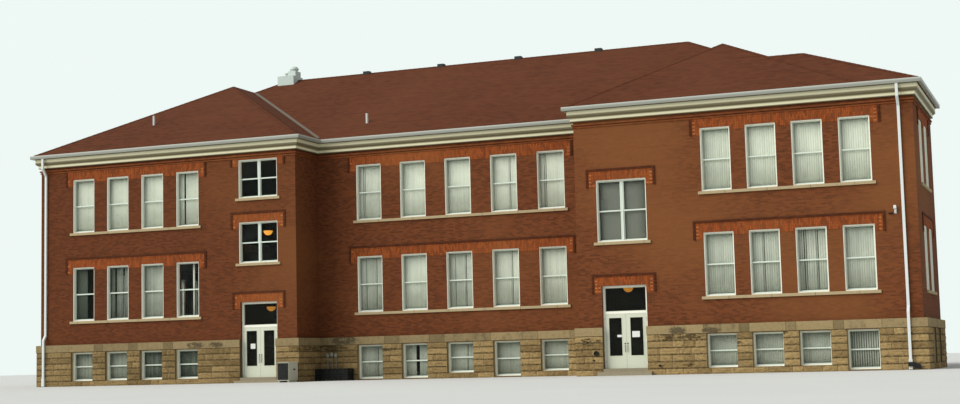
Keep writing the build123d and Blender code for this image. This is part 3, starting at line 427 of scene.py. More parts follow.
@dataclass(frozen=True)
class PaintFinish(Recipe):
    """Painted wood or metal, with soft dirt, the marks of brush or sheet, and painted shade in recesses
    where asked.

    Attributes:
        colour: Colour of the clean paint.
        dirt: Colour that dirt and wear bring out.
        dirty: Amount of dirt, from 0 to 1.
        gloss: Roughness of the clean paint.
        grain: Brush strokes per metre.
        metallic: Metallic value of the sheet.
        creases: Levels of recesses darkened with painted shade, with half their height.
        recess_shade: Colour of the painted shade in those recesses.
        upper: Level above which another colour takes over, or 0.
        upper_colour: That colour; on the gutter it is a painted highlight along the top lip.
        fade: Height over which it takes over.
    """

    colour: Colour
    dirt: Colour
    dirty: float = 0.3
    gloss: float = 0.45
    grain: float = 90.0
    metallic: float = 0.0
    creases: tuple[Pair, ...] = ()
    recess_shade: Colour = (0.1, 0.077, 0.034)
    upper: float = 0.0
    upper_colour: Colour = (0.03, 0.035, 0.033)
    fade: float = 0.1

    def build(self) -> bpy.types.Material:
        """Make the material."""
        net = Net(self.name)
        cloud = net.noise(1.3, 5.0, 0.6)
        strokes = net.noise(self.grain, 3.0, 0.6, net.vector(net.x, net.y, net.z * 0.15))
        dirt = (cloud * 0.7 + strokes * 0.3).between(0.68 - self.dirty * 0.35, 0.95 - self.dirty * 0.2)
        base = net.mix(dirt * 0.6, self.colour, self.dirt)
        if self.upper:
            base = net.mix(net.z.between(self.upper, self.upper + self.fade), base, self.upper_colour)
        # Painted shade in the recesses at these levels.
        for level, half in self.creases:
            recess_shade = net.maths("ABSOLUTE", net.z - level).between(half, half * 0.4)
            base = net.mix(recess_shade * 0.9, base, self.recess_shade)
        return net.surface(base, self.gloss + dirt * 0.3, strokes, 0.0008, 0.4, Metallic=self.metallic)


@dataclass(frozen=True)
class ShingleFinish(Recipe):
    """Mineral shingles in courses, each tab a little lighter or darker.

    Attributes:
        colour: Colour of most tabs.
        dark: Colour of the darker tabs, of the slots and of the painted shadow under each course.
        pale: Colour that weather bleaches them to.
        rise: Height gained by each course.
        tab: Width of a tab.
        slot: Width of the slot between two tabs.
    """

    colour: Colour
    dark: Colour
    pale: Colour
    rise: float = 0.066
    tab: float = 0.305
    slot: float = 0.0035

    def build(self) -> bpy.types.Material:
        """Make the material."""
        net = Net(self.name)
        along = net.x + net.y
        colours = (self.colour, self.dark, self.dark)
        tabs = net.bricks(net.vector(along, net.z), colours, (self.tab, self.rise), self.slot, Bias=-0.35)
        step = (net.z / self.rise).fraction()
        # Painted shadow under the butt of the course above.
        shade = step.between(0.78, 1.0)
        granules = net.noise(150.0, 2.0, 0.6)
        weather = net.noise(0.16, 5.0, 0.6)
        base = net.mix(weather.between(0.35, 0.7) * 0.5, tabs.outputs["Color"], self.pale)
        base = net.mix(shade * 0.5, base, self.dark)
        base = net.mix(granules.between(0.45, 0.8) * 0.35, base, self.dark)
        courses = net.noise(1.0, 3.0, 0.6, net.vector(along * 0.35, net.z / self.rise * 0.9))
        base = net.mix(courses.between(0.48, 0.7) * 0.4, base, self.dark)
        relief = (1.0 - step) * 0.8 + granules * 0.2 - Term(net, tabs.outputs["Fac"]) * 0.5
        return net.surface(base, 0.93, relief, 0.006, 0.6, Specular_IOR_Level=0.06)


@dataclass(frozen=True)
class BoardFinish(Recipe):
    """Boards or poured concrete of a floor.

    Attributes:
        light: Colour of the lighter boards.
        dark: Colour of the darker boards and the joints.
        width: Width of a board or of a bay of concrete.
        slender: Length of a board as a multiple of its width.
        gap: Width of the joint between two boards.
    """

    light: Colour
    dark: Colour
    width: float = 0.09
    slender: float = 22.0
    gap: float = 0.0015

    def build(self) -> bpy.types.Material:
        """Make the material."""
        net = Net(self.name)
        colours = (self.light, self.dark, self.dark)
        size = (self.width * self.slender, self.width)
        boards = net.bricks(net.vector(net.x, net.y), colours, size, self.gap)
        grain = net.noise(6.0, 5.0, 0.6, net.vector(net.x, net.y * 9.0, net.z * 9.0))
        base = net.mix(grain.between(0.4, 0.75) * 0.4, boards.outputs["Color"], self.dark)
        return net.surface(base, 0.6, grain, 0.002, 0.4)


@dataclass(frozen=True)
class GlassFinish(Recipe):
    """Window glass: a faint tint, a film of dust and a clear reflection.

    Attributes:
        tint: Colour of the glass.
        cover: How much of what lies behind it hides.
        dust: Amount of the film, from 0 to 1.
        sheen: Strength of its reflection.
        film: Colour of the dust.
    """

    tint: Colour
    cover: float
    dust: float
    sheen: float
    film: Colour = (0.4, 0.44, 0.4)

    def build(self) -> bpy.types.Material:
        """Make the material."""
        net = Net(self.name)
        waves = net.noise(2.6, 2.0, 0.5)
        film = net.noise(1.1, 4.0, 0.6).between(0.4, 0.8)
        base = net.mix(film * self.dust, self.tint, self.film)
        alpha = film * self.dust * 0.12 + self.cover
        return net.surface(base, 0.03, waves, 0.0012, 0.35, Alpha=alpha, Specular_IOR_Level=self.sheen)


@dataclass(frozen=True)
class VaneFinish(Recipe):
    """Woven vanes of a window blind, a little yellowed, with fine upright ribs.

    Attributes:
        pale: Colour of most vanes.
        shaded: Colour of the darker vanes.
    """

    pale: Colour
    shaded: Colour

    def build(self) -> bpy.types.Material:
        """Make the material."""
        net = Net(self.name)
        ribs = net.noise(220.0, 2.0, 0.5, net.vector(net.x, net.y, net.z * 0.08))
        sag = net.noise(0.9, 3.0, 0.6)
        factor = net.tone() * 0.85 + sag.between(0.35, 0.75) * 0.15 + ribs * 0.12
        return net.surface(net.mix(factor, self.pale, self.shaded), 0.85, ribs, 0.0006, 0.5)


@dataclass(frozen=True)
class LampFinish(Recipe):
    """Amber glass of a lamp that is lit.

    Attributes:
        colour: Colour of the light.
        power: Strength of the light.
        swirl: Colour of the paler swirls in the glass.
    """

    colour: Colour
    power: float = 1.0
    swirl: Colour = (0.62, 0.3, 0.08)

    def build(self) -> bpy.types.Material:
        """Make the material."""
        net = Net(self.name)
        swirl = net.noise(14.0, 3.0, 0.6)
        colour = net.mix(swirl.between(0.3, 0.7) * 0.5, self.colour, self.swirl)
        inputs = {"Emission_Strength": self.power, "Emission_Color": colour}
        return net.surface(colour, 0.3, swirl, 0.001, 0.3, **inputs)


class Finish(Enum):
    """Every finish of the school, made once and shared."""

    WALL = BrickFinish(
        "red_brick", (0.176, 0.0525, 0.0192), (0.08, 0.0258, 0.0113),
        (0.135, 0.058, 0.026), (0.212, 0.081, 0.0285),
        spots=((8.6, 8.8, 7.0), (10.6, 5.2, 3.2), (16.5, 3.5, 4.5), (-7.0, 5.5, 1.6), (18.8, 7.0, 4.0)),
        left_shade=0.36,
    )
    BAND = BrickFinish(
        "orange_brick", (0.315, 0.077, 0.019), (0.14, 0.04, 0.0145),
        (0.12, 0.04, 0.016), (0.3, 0.1, 0.03), 0.45,
        upright=True,
    )
    # The hood brick is darker than the wall partly as painted shade along the proud course.
    HOOD = BrickFinish(
        "hood_brick", (0.1, 0.03, 0.013), (0.055, 0.018, 0.009),
        (0.05, 0.02, 0.011), (0.1, 0.038, 0.016), 0.3,
    )
    CORBEL = BrickFinish(
        "corbel_brick", (0.24, 0.066, 0.02), (0.13, 0.038, 0.014),
        (0.1, 0.045, 0.02), (0.22, 0.085, 0.028), 0.4,
    )
    LIGHT_BRICK = BrickFinish(
        "light_end_brick", (0.44, 0.16, 0.05), (0.36, 0.11, 0.035),
        (0.25, 0.09, 0.04), (0.42, 0.19, 0.08), 0.3,
    )
    ROCK = StoneFinish(
        "rock_faced_stone", (0.39, 0.273, 0.121), (0.2, 0.134, 0.055), (0.034, 0.025, 0.012), 0.45,
        relief=0.055,
        hollow_shade=0.66,
        course=0.26,
        spots=(
            (9.9, 1.4, 0.2), (10.9, 1.42, 0.22), (12.0, 1.4, 0.2), (12.6, 1.15, 0.1), (14.4, 1.44, 0.12),
            (10.8, 0.36, 0.12), (6.9, 1.3, 0.24), (-11.4, 0.4, 0.14), (-5.6, 1.4, 0.35), (-3.0, 1.3, 0.2),
        ),
        left_shade=0.22,
    )
    JOINT = StoneFinish(
        "stone_joints", (0.125, 0.092, 0.046), (0.085, 0.062, 0.03), (0.03, 0.022, 0.013), 0.5
    )
    DRESSED = StoneFinish(
        "smooth_stone", (0.34, 0.258, 0.13), (0.165, 0.122, 0.06), (0.06, 0.046, 0.028), 0.65,
        relief=0.006,
        hollow_shade=0.35,
        spots=(
            (10.4, 1.64, 0.17), (11.7, 1.62, 0.15),
            (-5.0, 1.7, 0.25), (-11.2, 1.66, 0.19), (-10.2, 1.66, 0.17),
        ),
        left_shade=0.2,
    )
    SILL = StoneFinish(
        "sill_stone", (0.42, 0.335, 0.195), (0.31, 0.24, 0.135), (0.1, 0.078, 0.05), 0.35, 1.6, 0.004
    )
    SLAB = StoneFinish(
        "step_stone", (0.3, 0.26, 0.18), (0.24, 0.2, 0.13), (0.08, 0.065, 0.045), 0.5, relief=0.004
    )
    CREAM = PaintFinish(
        "cream_paint", (0.72, 0.69, 0.47), (0.34, 0.29, 0.17), 0.3, 0.55,
        # These creases paint shade under the gutter, between the boards and below the cornice.
        creases=((10.09, 0.105), (10.33, 0.04), (9.885, 0.05)),
    )
    # The pale upper colour paints a highlight along the gutter's top lip.
    GUTTER = PaintFinish(
        "gutter_enamel", (0.27, 0.28, 0.24), (0.17, 0.16, 0.12), 0.4, 0.4, 40.0,
        upper=10.375,
        upper_colour=(0.5, 0.52, 0.46),
    )
    SPOUT = PaintFinish("spout_enamel", (0.66, 0.7, 0.68), (0.4, 0.38, 0.32), 0.3, 0.4, 40.0)
    FRAME = PaintFinish("white_window_paint", (0.65, 0.72, 0.63), (0.4, 0.4, 0.32), 0.2, 0.45)
    CASING = PaintFinish("white_casing_paint", (0.86, 0.86, 0.74), (0.5, 0.48, 0.38), 0.25, 0.5)
    DOOR = PaintFinish("white_door_paint", (0.6, 0.63, 0.5), (0.4, 0.4, 0.32), 0.15, 0.4, 60.0)
    CHIMNEY = PaintFinish("white_masonry_paint", (0.56, 0.65, 0.6), (0.3, 0.34, 0.33), 0.5, 0.7, 25.0)
    IRON = PaintFinish("dark_iron", (0.013, 0.014, 0.014), (0.04, 0.036, 0.03), 0.3, 0.6, 60.0)
    ZINC = PaintFinish("vent_paint", (0.6, 0.62, 0.58), (0.2, 0.18, 0.14), 0.4, 0.6, 40.0, upper=13.0)
    FLASHING = PaintFinish("flashing_sheet", (0.125, 0.09, 0.06), (0.08, 0.055, 0.038), 0.4, 0.45, 30.0, 0.5)
    CABINET = PaintFinish("cabinet_enamel", (0.5, 0.5, 0.4), (0.25, 0.24, 0.18), 0.35, 0.5)
    PAPER = PaintFinish("blank_paper", (0.74, 0.75, 0.7), (0.6, 0.6, 0.54), 0.2, 0.8, 12.0)
    ROOF = ShingleFinish(
        "red_shingles", (0.122, 0.04, 0.0185), (0.064, 0.0215, 0.0112), (0.138, 0.049, 0.0235)
    )
    CAP = ShingleFinish(
        "cap_shingles", (0.112, 0.0375, 0.0177), (0.064, 0.0215, 0.0112), (0.12, 0.043, 0.021)
    )
    BOARDS = BoardFinish("worn_boards", (0.2, 0.12, 0.065), (0.11, 0.065, 0.036))
    CONCRETE = BoardFinish("ground_concrete", (0.3, 0.28, 0.25), (0.22, 0.2, 0.18), 2.0)
    GLASS = GlassFinish("window_glass", (0.06, 0.078, 0.068), 0.05, 0.22, 0.24)
    # Near-black tint and thick cover paint the shade of the dim halls behind the doors.
    DARK_GLASS = GlassFinish("dark_door_glass", (0.013, 0.014, 0.0105), 0.35, 0.02, 0.1)
    VANE = VaneFinish("blind_vanes", (0.84, 0.9, 0.74), (0.08, 0.1, 0.075))
    SHADE = VaneFinish("grey_shade", (0.215, 0.23, 0.185), (0.16, 0.175, 0.145))
    LAMP = LampFinish("amber_lamp", (0.9, 0.36, 0.035))

    def material(self) -> bpy.types.Material:
        """The finish's material, made on first use.

        Returns:
            The material.
        """
        if self.name not in MADE:
            MADE[self.name] = self.value.build()
        return MADE[self.name]


class Side(Enum):
    """The way a wall faces, as its turn about the upright axis from the front."""

    FRONT = 0
    RIGHT = 90
    REAR = 180
    LEFT = -90

    def turn(self) -> Matrix:
        """The matrix that takes a shape modelled for the front to this side."""
        return Matrix.Rotation(math.radians(self.value), 4, "Z")

    def local(self, box: Box) -> Box:
        """A box's corners as they lie when this side is turned to the front.

        Args:
            box: Lowest and highest corner.

        Returns:
            Lowest and highest corner after the turn.
        """
        back = self.turn().inverted()
        ends = [back @ Vector(corner) for corner in box]
        return Vector(map(min, *ends)), Vector(map(max, *ends))


def islands(node: str) -> list[Box]:
    """Boxes of the separate solids in a node of the frame.

    Args:
        node: Name of the node.

    Returns:
        Lowest and highest corner of each solid.
    """
    mesh = bpy.data.objects[node].data
    points = np.empty(len(mesh.vertices) * 3)
    mesh.vertices.foreach_get("co", points)
    unique, index = np.unique(points.reshape(-1, 3).round(5), axis=0, return_inverse=True)
    index = index.reshape(-1)
    faces = np.array([[index[vertex] for vertex in face.vertices] for face in mesh.polygons])
    labels = np.arange(len(unique))
    while True:
        least = labels[faces].min(axis=1)
        spread = labels.copy()
        for corner in range(3):
            np.minimum.at(spread, faces[:, corner], least)
        spread = spread[spread]
        if (spread == labels).all():
            break
        labels = spread
    solids = (unique[labels == label] for label in np.unique(labels))
    return [(Vector(solid.min(axis=0)), Vector(solid.max(axis=0))) for solid in solids]


@dataclass(frozen=True)
class Template:
    """A finished shape, ready to be copied.

    Attributes:
        points: Its points, one to a row.
        faces: The numbers of each face's corners.
        smooth: Whether its faces are shaded smooth.
    """

    points: np.ndarray
    faces: tuple[tuple[int, ...], ...]
    smooth: bool = False


class Way(Enum):
    """A direction that a face may point."""

    FRONT = (0, -1, 0)
    BACK = (0, 1, 0)
    RIGHT = (1, 0, 0)
    UP = (0, 0, 1)
    DOWN = (0, 0, -1)


class Bench:
    """One mesh on the bench, shaped with Blender's own operators in edit mode.

    Attributes:
        STRAIGHT: Least share of its normal with which a face points a given way.
        SHARP: Least angle of an edge that is bevelled.
        obj: The object under work.
    """

    STRAIGHT = 0.9
    SHARP = math.radians(40)

    def __init__(self) -> None:
        """Take up the primitive that was just added."""
        self.obj = bpy.context.object
        bpy.ops.object.transform_apply()
        bpy.ops.object.mode_set(mode="EDIT")

    @classmethod
    def block(cls, low: Place, high: Place) -> "Bench":
        """Start from a cube.

        Args:
            low: Its lowest corner.
            high: Its highest corner.

        Returns:
            The bench.
        """
        middle = [(start + end) / 2 for start, end in zip(low, high)]
        size = [end - start for start, end in zip(low, high)]
        bpy.ops.mesh.primitive_cube_add(size=1.0, location=middle, scale=size)
        return cls()

    @classmethod
    def panel(cls, low: Place, high: Place) -> "Bench":
        """Start from an upright plane that faces the front.

        Args:
            low: Its lowest corner.
            high: Its highest corner.

        Returns:
            The bench.
        """
        middle = ((low[0] + high[0]) / 2, low[1], (low[2] + high[2]) / 2)
        bpy.ops.mesh.primitive_plane_add(size=1.0, location=middle, rotation=TO_FRONT)
        return cls().scale((high[0] - low[0], 1.0, high[2] - low[2]), middle)

    @classmethod
    def rod(
        cls, place: Place, radius: float, length: float, turn: Place = (0, 0, 0), count: int = 16
    ) -> "Bench":
        """Start from a cylinder.

        Args:
            place: Its middle.
            radius: Its radius.
            length: Its length.
            turn: Its turn about the three axes.
            count: Number of its sides.

        Returns:
            The bench.
        """
        bpy.ops.mesh.primitive_cylinder_add(
            vertices=count, radius=radius, depth=length, location=place, rotation=turn
        )
        return cls()

    @classmethod
    def ball(cls, radius: float) -> "Bench":
        """Start from a sphere about the origin.

        Args:
            radius: Its radius.

        Returns:
            The bench.
        """
        bpy.ops.mesh.primitive_uv_sphere_add(segments=20, ring_count=12, radius=radius)
        return cls()

    def choose(self, kind: str, test: Callable[[object], bool]) -> "Bench":
        """Select the faces or the points that pass a test.

        Args:
            kind: FACE or VERT.
            test: The test.

        Returns:
            The bench.
        """
        bpy.ops.mesh.select_mode(type=kind)
        mesh = bmesh.from_edit_mesh(self.obj.data)
        for item in mesh.faces if kind == "FACE" else mesh.verts:
            item.select_set(test(item))
        mesh.select_flush_mode()
        bmesh.update_edit_mesh(self.obj.data)
        return self

    def facing(self, *ways: Way, where: Callable[[Vector], bool] | None = None) -> "Bench":
        """Select the faces that point one of some ways.

        Args:
            ways: The ways.
            where: Test that a face's middle has to pass as well, or None.

        Returns:
            The bench.
        """

        def test(face: bmesh.types.BMFace) -> bool:
            """Whether a face is to be selected."""
            pointed = any(face.normal.dot(way.value) > self.STRAIGHT for way in ways)
            return pointed and (where is None or where(face.calc_center_median()))

        return self.choose("FACE", test)

    def points(self, where: Callable[[Vector], bool]) -> "Bench":
        """Select the points whose place passes a test."""
        return self.choose("VERT", lambda point: where(point.co))

    def everything(self) -> "Bench":
        """Select the whole mesh."""
        bpy.ops.mesh.select_all(action="SELECT")
        return self

    def inset(self, thickness: float, depth: float = 0.0) -> "Bench":
        """Inset each selected face."""
        bpy.ops.mesh.inset(thickness=thickness, depth=depth, use_individual=True)
        return self

    def extrude(self, offset: Place) -> "Bench":
        """Extrude the selected faces by an offset."""
        bpy.ops.mesh.extrude_region_move(TRANSFORM_OT_translate={"value": offset})
        return self

    def move(self, offset: Place) -> "Bench":
        """Move what is selected."""
        bpy.ops.transform.translate(value=offset)
        return self

    def scale(self, factors: Place, centre: Place) -> "Bench":
        """Scale what is selected about a point."""
        bpy.ops.transform.resize(value=factors, center_override=centre)
        return self

    def divide(self, cuts: int) -> "Bench":
        """Subdivide what is selected."""
        bpy.ops.mesh.subdivide(number_cuts=cuts)
        return self

    def roughen(self, amount: float, seed: int) -> "Bench":
        """Shift the selected points at random along their normals."""
        bpy.ops.transform.vertex_random(offset=amount, uniform=0.35, normal=0.9, seed=seed)
        return self

    def bridge(self) -> "Bench":
        """Open a tunnel between the selected faces."""
        bpy.ops.mesh.bridge_edge_loops()
        return self

    def bevel(self, width: float, segments: int = 1) -> "Bench":
        """Bevel every sharp edge.

        Args:
            width: Width of the bevel.
            segments: Number of its strips.

        Returns:
            The bench.
        """
        bpy.ops.mesh.select_mode(type="EDGE")
        bpy.ops.mesh.select_all(action="DESELECT")
        bpy.ops.mesh.edges_select_sharp(sharpness=self.SHARP)
        bpy.ops.mesh.bevel(offset=width, segments=segments, affect="EDGES")
        return self

    def slice(self, place: Place, normal: Place, halve: bool = False) -> "Bench":
        """Cut the whole mesh with a plane.

        Args:
            place: A point of the plane.
            normal: Its normal.
            halve: Whether the part that the normal points to goes, and the cut is closed.

        Returns:
            The bench.
        """
        self.everything()
        bpy.ops.mesh.bisect(plane_co=place, plane_no=normal, clear_outer=halve, use_fill=halve)
        return self

    def template(self, smooth: bool = False) -> Template:
        """Take the finished shape off the bench.

        Args:
            smooth: Whether its faces are shaded smooth.

        Returns:
            The shape.
        """
        bpy.ops.object.mode_set(mode="OBJECT")
        mesh = self.obj.data
        points = np.empty(len(mesh.vertices) * 3)
        mesh.vertices.foreach_get("co", points)
        faces = tuple(tuple(face.vertices) for face in mesh.polygons)
        bpy.data.objects.remove(self.obj)
        bpy.data.meshes.remove(mesh)
        return Template(points.reshape(-1, 3), faces, smooth)


def ring(low: Place, high: Place, side: float, foot: float, head: float, chamfer: float) -> Template:
    """Model a rectangular frame.

    Args:
        low: Its lowest corner.
        high: Its highest corner.
        side: Width of its two sides.
        foot: Height of its bottom member.
        head: Height of its top member.
        chamfer: Width of the chamfer on its edges.

    Returns:
        The frame as a template.
    """
    middle = (low[0] + high[0]) / 2
    centre = (low[2] + high[2]) / 2
    reach = (high[0] - low[0]) / 2 - side / 2
    faces = (Way.FRONT, Way.BACK)
    bench = Bench.block(low, high).facing(*faces).inset(side)
    bench.points(lambda place: abs(place.x - middle) < reach and place.z < centre)
    bench.move((0, 0, foot - side))
    bench.points(lambda place: abs(place.x - middle) < reach and place.z > centre)
    bench.move((0, 0, side - head))
    inside = (low[2] + foot, high[2] - head)
    bench.facing(
        *faces, where=lambda place: abs(place.x - middle) < 0.001 and inside[0] < place.z < inside[1]
    )
    return bench.bridge().bevel(chamfer).template()


def carved(
    low: Place, high: Place, *insets: tuple[Way, float, float], chamfer: float = 0.0, segments: int = 1
) -> Template:
    """Model a block with inset faces.

    Args:
        low: Its lowest corner.
        high: Its highest corner.
        insets: For each inset the face's way, the width of its margin and how far it stands out.
        chamfer: Width of the bevel on its edges, or 0.
        segments: Number of the bevel's strips.

    Returns:
        The block as a template.
    """
    bench = Bench.block(low, high)
    for way, margin, depth in insets:
        bench.facing(way).inset(margin, depth)
    return (bench.bevel(chamfer, segments) if chamfer else bench).template()


class Batch:
    """Copies of shapes, joined in one mesh when they are all in place.

    Attributes:
        MIDDLE: The tone of a shape that isn't to differ from others.
    """

    MIDDLE = 0.5

    def __init__(self, name: str) -> None:
        """Start an empty batch.

        Args:
            name: Name of the piece that it becomes.
        """
        self.name = name
        self.chance = random.Random(f"{SEED} {name}")
        self.points: list[np.ndarray] = []
        self.faces: list[tuple[int, ...]] = []
        self.tones: list[float] = []
        self.smooth: list[bool] = []
        self.count = 0

    def add(self, template: Template, place: Matrix = Matrix(), tone: float | None = None) -> None:
        """Add one copy of a shape.

        Args:
            template: The shape.
            place: The matrix that puts it in place.
            tone: Value of the copy's colour from 0 to 1, or None for one by chance.
        """
        matrix = np.array(place)
        self.points.append(template.points @ matrix[:3, :3].T + matrix[:3, 3])
        self.faces.extend(tuple(self.count + corner for corner in face) for face in template.faces)
        tone = self.chance.random() if tone is None else tone
        self.tones.extend([tone] * len(template.faces))
        self.smooth.extend([template.smooth] * len(template.faces))
        self.count += len(template.points)

    def put(self, template: Template, place: Matrix = Matrix()) -> None:
        """Add one copy of a shape in the middle tone."""
        self.add(template, place, self.MIDDLE)

    def piece(self, finish: Finish, body: str = BUILDING, slot: str = "") -> bpy.types.Object:
        """Join the copies in one piece.

        Args:
            finish: Its finish.
            body: The body that it rides on.
            slot: Not used.

        Returns:
            The piece.
        """
        mesh = bpy.data.meshes.new(self.name)
        mesh.from_pydata(np.concatenate(self.points).tolist(), [], self.faces)
        mesh.polygons.foreach_set("use_smooth", self.smooth)
        tones = mesh.attributes.new("tone", "FLOAT", "FACE")
        tones.data.foreach_set("value", self.tones)
        mesh.materials.append(finish.material())
        piece = bpy.data.objects.new(self.name, mesh)
        bpy.context.collection.objects.link(piece)
        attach(piece, body)
        LOG.info("%s: %d faces", self.name, len(self.faces))
        return piece


@dataclass
class Studio:
    """The pale floor, the soft light and the camera.

    Attributes:
        lens: Focal length in millimetres.
        sensor: Width of the sensor in millimetres.
        eye: Place of the camera.
        yaw: Turn of its view towards the left.
        pitch: Tilt of its view upwards.
        roll: Turn about its view.
        sky: Colour of the sky where it is seen or mirrored.
        air: Colour of the light that it gives.
        ambient: Strength of that light.
        sun: Strength of the key light.
        sunlight: Its colour.
        towards: Direction from the building to it.
        softness: Angle that it fills, in degrees.
        floor_size: Width of the floor.
        paving: The floor's two colours.
    """

    lens: float = 58.729
    sensor: float = 36.0
    eye: Point = (25.2016, -67.0350, 0.6631)
    yaw: float = 0.373872
    pitch: float = 0.101516
    roll: float = -0.024384
    sky: Colour = (0.858, 0.939, 0.907)
    air: Colour = (0.95, 0.98, 1.0)
    ambient: float = 0.5
    sun: float = 3.1
    sunlight: Colour = (1.0, 0.98, 0.95)
    towards: Point = (-0.62, -0.6, 0.62)
    softness: float = 55
    floor_size: float = 600.0
    paving: tuple[Colour, Colour] = ((0.6, 0.61, 0.58), (0.66, 0.67, 0.64))

    def build(self) -> None:
        """Set up camera, sky, sun and floor."""
        self.camera()
        self.world()
        self.lamp()
        self.floor()
        bpy.context.scene.view_settings.view_transform = "Standard"

    def camera(self) -> None:
        """Put the camera where the photograph was taken."""
        flat = math.cos(self.pitch)
        ahead = Vector((-math.sin(self.yaw) * flat, math.cos(self.yaw) * flat, math.sin(self.pitch)))
        level = Vector((math.cos(self.yaw), math.sin(self.yaw), 0.0))
        upright = level.cross(ahead)
        right = math.cos(self.roll) * level + math.sin(self.roll) * upright
        top = -math.sin(self.roll) * level + math.cos(self.roll) * upright
        data = bpy.data.cameras.new("view")
        data.lens = self.lens
        data.sensor_width = self.sensor
        data.sensor_fit = "HORIZONTAL"
        data.clip_end = 2000.0
        camera = bpy.data.objects.new("view", data)
        axes = Matrix((right, top, -ahead)).transposed().to_4x4()
        camera.matrix_world = Matrix.Translation(self.eye) @ axes
        bpy.context.collection.objects.link(camera)
        bpy.context.scene.camera = camera

    def world(self) -> None:
        """Make a plain sky that lights softly and shows pale."""
        net = Net("sky", bpy.data.worlds)
        light = net.node("ShaderNodeBackground", {}, {"Color": self.air, "Strength": self.ambient})
        shown = net.node("ShaderNodeBackground", {}, {"Color": self.sky})
        path = net.node("ShaderNodeLightPath").outputs
        kinds = ("Camera", "Glossy", "Transmission")
        direct, glossy, through = (Term(net, path[f"Is {kind} Ray"]) for kind in kinds)
        settings = {"operation": "ADD", "use_clamp": True}
        seen = net.node("ShaderNodeMath", settings, {0: direct + glossy, 1: through})
        inputs = {0: seen.outputs[0], 1: light.outputs[0], 2: shown.outputs[0]}
        mixed = net.node("ShaderNodeMixShader", {}, inputs)
        net.node("ShaderNodeOutputWorld", {}, {"Surface": mixed.outputs[0]})
        bpy.context.scene.world = net.owner

    def lamp(self) -> None:
        """Hang one broad soft light high at the left of the front."""
        data = bpy.data.lights.new("key", "SUN")
        data.energy = self.sun
        data.angle = math.radians(self.softness)
        data.color = self.sunlight
        lamp = bpy.data.objects.new("key", data)
        lamp.rotation_euler = Vector(self.towards).to_track_quat("Z", "Y").to_euler()
        bpy.context.collection.objects.link(lamp)

    def floor(self) -> None:
        """Lay the pale floor."""
        bpy.ops.mesh.primitive_plane_add(size=self.floor_size)
        floor = bpy.context.object
        floor.name = "floor"
        net = Net("pale_floor")
        colour = net.mix(net.noise(0.15, 3.0, 0.5), *self.paving)
        floor.data.materials.append(net.surface(colour, 0.9))


class Dressing:
    """The finish of every node that is kept from the frame.

    Attributes:
        FINISHES: The finish for each ending of a node's name.
    """

    FINISHES = {
        "_basement": Finish.JOINT,
        "_wall": Finish.WALL,
        "water_table": Finish.JOINT,
        "corbel_courses": Finish.CORBEL,
        "cornice": Finish.CREAM,
        "gutter": Finish.GUTTER,
        "window_sills": Finish.SILL,
        "brick_bands": Finish.BAND,
        "hood_courses": Finish.HOOD,
        "chimney": Finish.CHIMNEY,
        "flue_pipes": Finish.CHIMNEY,
        "valley_flashing": Finish.FLASHING,
        "roof_vents": Finish.ZINC,
        "downspouts": Finish.SPOUT,
        "_roof": Finish.ROOF,
        "ground_floor": Finish.CONCRETE,
        "_floor": Finish.BOARDS,
        "_window_frames": Finish.FRAME,
        "_glass": Finish.GLASS,
        "transom_glass": Finish.DARK_GLASS,
        "_leaf_glass": Finish.DARK_GLASS,
        "_door_frame": Finish.CASING,
        "_door_step": Finish.SLAB,
        "_leaf": Finish.DOOR,
    }

    def dress(self) -> None:
        """Give each node the finish of the longest ending that its name has."""
        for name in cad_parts:
            ending = max((end for end in self.FINISHES if name.endswith(end)), key=len)
            mesh = bpy.data.objects[name].data
            if not mesh.materials:
                mesh.materials.append(None)
            for index in range(len(mesh.materials)):
                mesh.materials[index] = self.FINISHES[ending].material()


@dataclass(frozen=True)
class Run:
    """A straight stretch of the basement's stone face.

    Attributes:
        side: The way it faces.
        start: Where it starts along the wall.
        end: Where it ends.
        face: Depth of its face.
        RECESS: Usual depth of a window's frame behind the face.
    """

    RECESS: ClassVar[float] = 0.25

    side: Side
    start: float
    end: float
    face: float

    def holds(self, window: "Opening") -> bool:
        """Whether a window stands in this stretch of wall."""
        near = abs(window.low.y - self.face - self.RECESS) < 0.2
        return window.side is self.side and near and self.start < window.low.x < self.end

    def span(self, outer: float) -> Pair:
        """Start and end, on the front and rear with what stands out round the corners."""
        outer = outer if self.side in (Side.FRONT, Side.REAR) else 0.0
        return self.start - outer, self.end + outer


class Plan:
    """The straight runs of the walls, read from the frame.

    Attributes:
        NAMES: Names of the stretches of basement.
        runs: The runs.
    """

    NAMES = ("left_wing", "left_corner", "centre", "right_corner", "right_wing", "bay", "right_side", "rear")

    def __init__(self) -> None:
        """Read the basement's boxes."""
        box = {name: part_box(f"{name}_basement") for name in self.NAMES}
        left, right, centre = box["left_wing"], box["right_wing"], box["centre"]
        left_corner, right_corner = box["left_corner"], box["right_corner"]
        bay, side, rear = box["bay"], box["right_side"], box["rear"]
        self.runs = [
            Run(Side.FRONT, left[0][0], left[1][0], left[0][1]),
            Run(Side.FRONT, left_corner[0][0], left_corner[1][0], left_corner[0][1]),
            Run(Side.RIGHT, left_corner[0][1], centre[0][1], -left_corner[1][0]),
            Run(Side.FRONT, centre[0][0], centre[1][0], centre[0][1]),
            Run(Side.LEFT, -centre[0][1], -right_corner[0][1], right_corner[0][0]),
            Run(Side.FRONT, right_corner[0][0], right_corner[1][0], right_corner[0][1]),
            Run(Side.FRONT, right[0][0], right[1][0], right[0][1]),
            Run(Side.RIGHT, right[0][1], bay[1][1], -bay[1][0]),
            Run(Side.REAR, -bay[1][0], -side[1][0], -bay[1][1]),
            Run(Side.RIGHT, side[0][1], rear[1][1], -side[1][0]),
            Run(Side.REAR, -rear[1][0], -rear[0][0], -rear[1][1]),
            Run(Side.LEFT, -rear[1][1], -left[0][1], rear[0][0]),
        ]


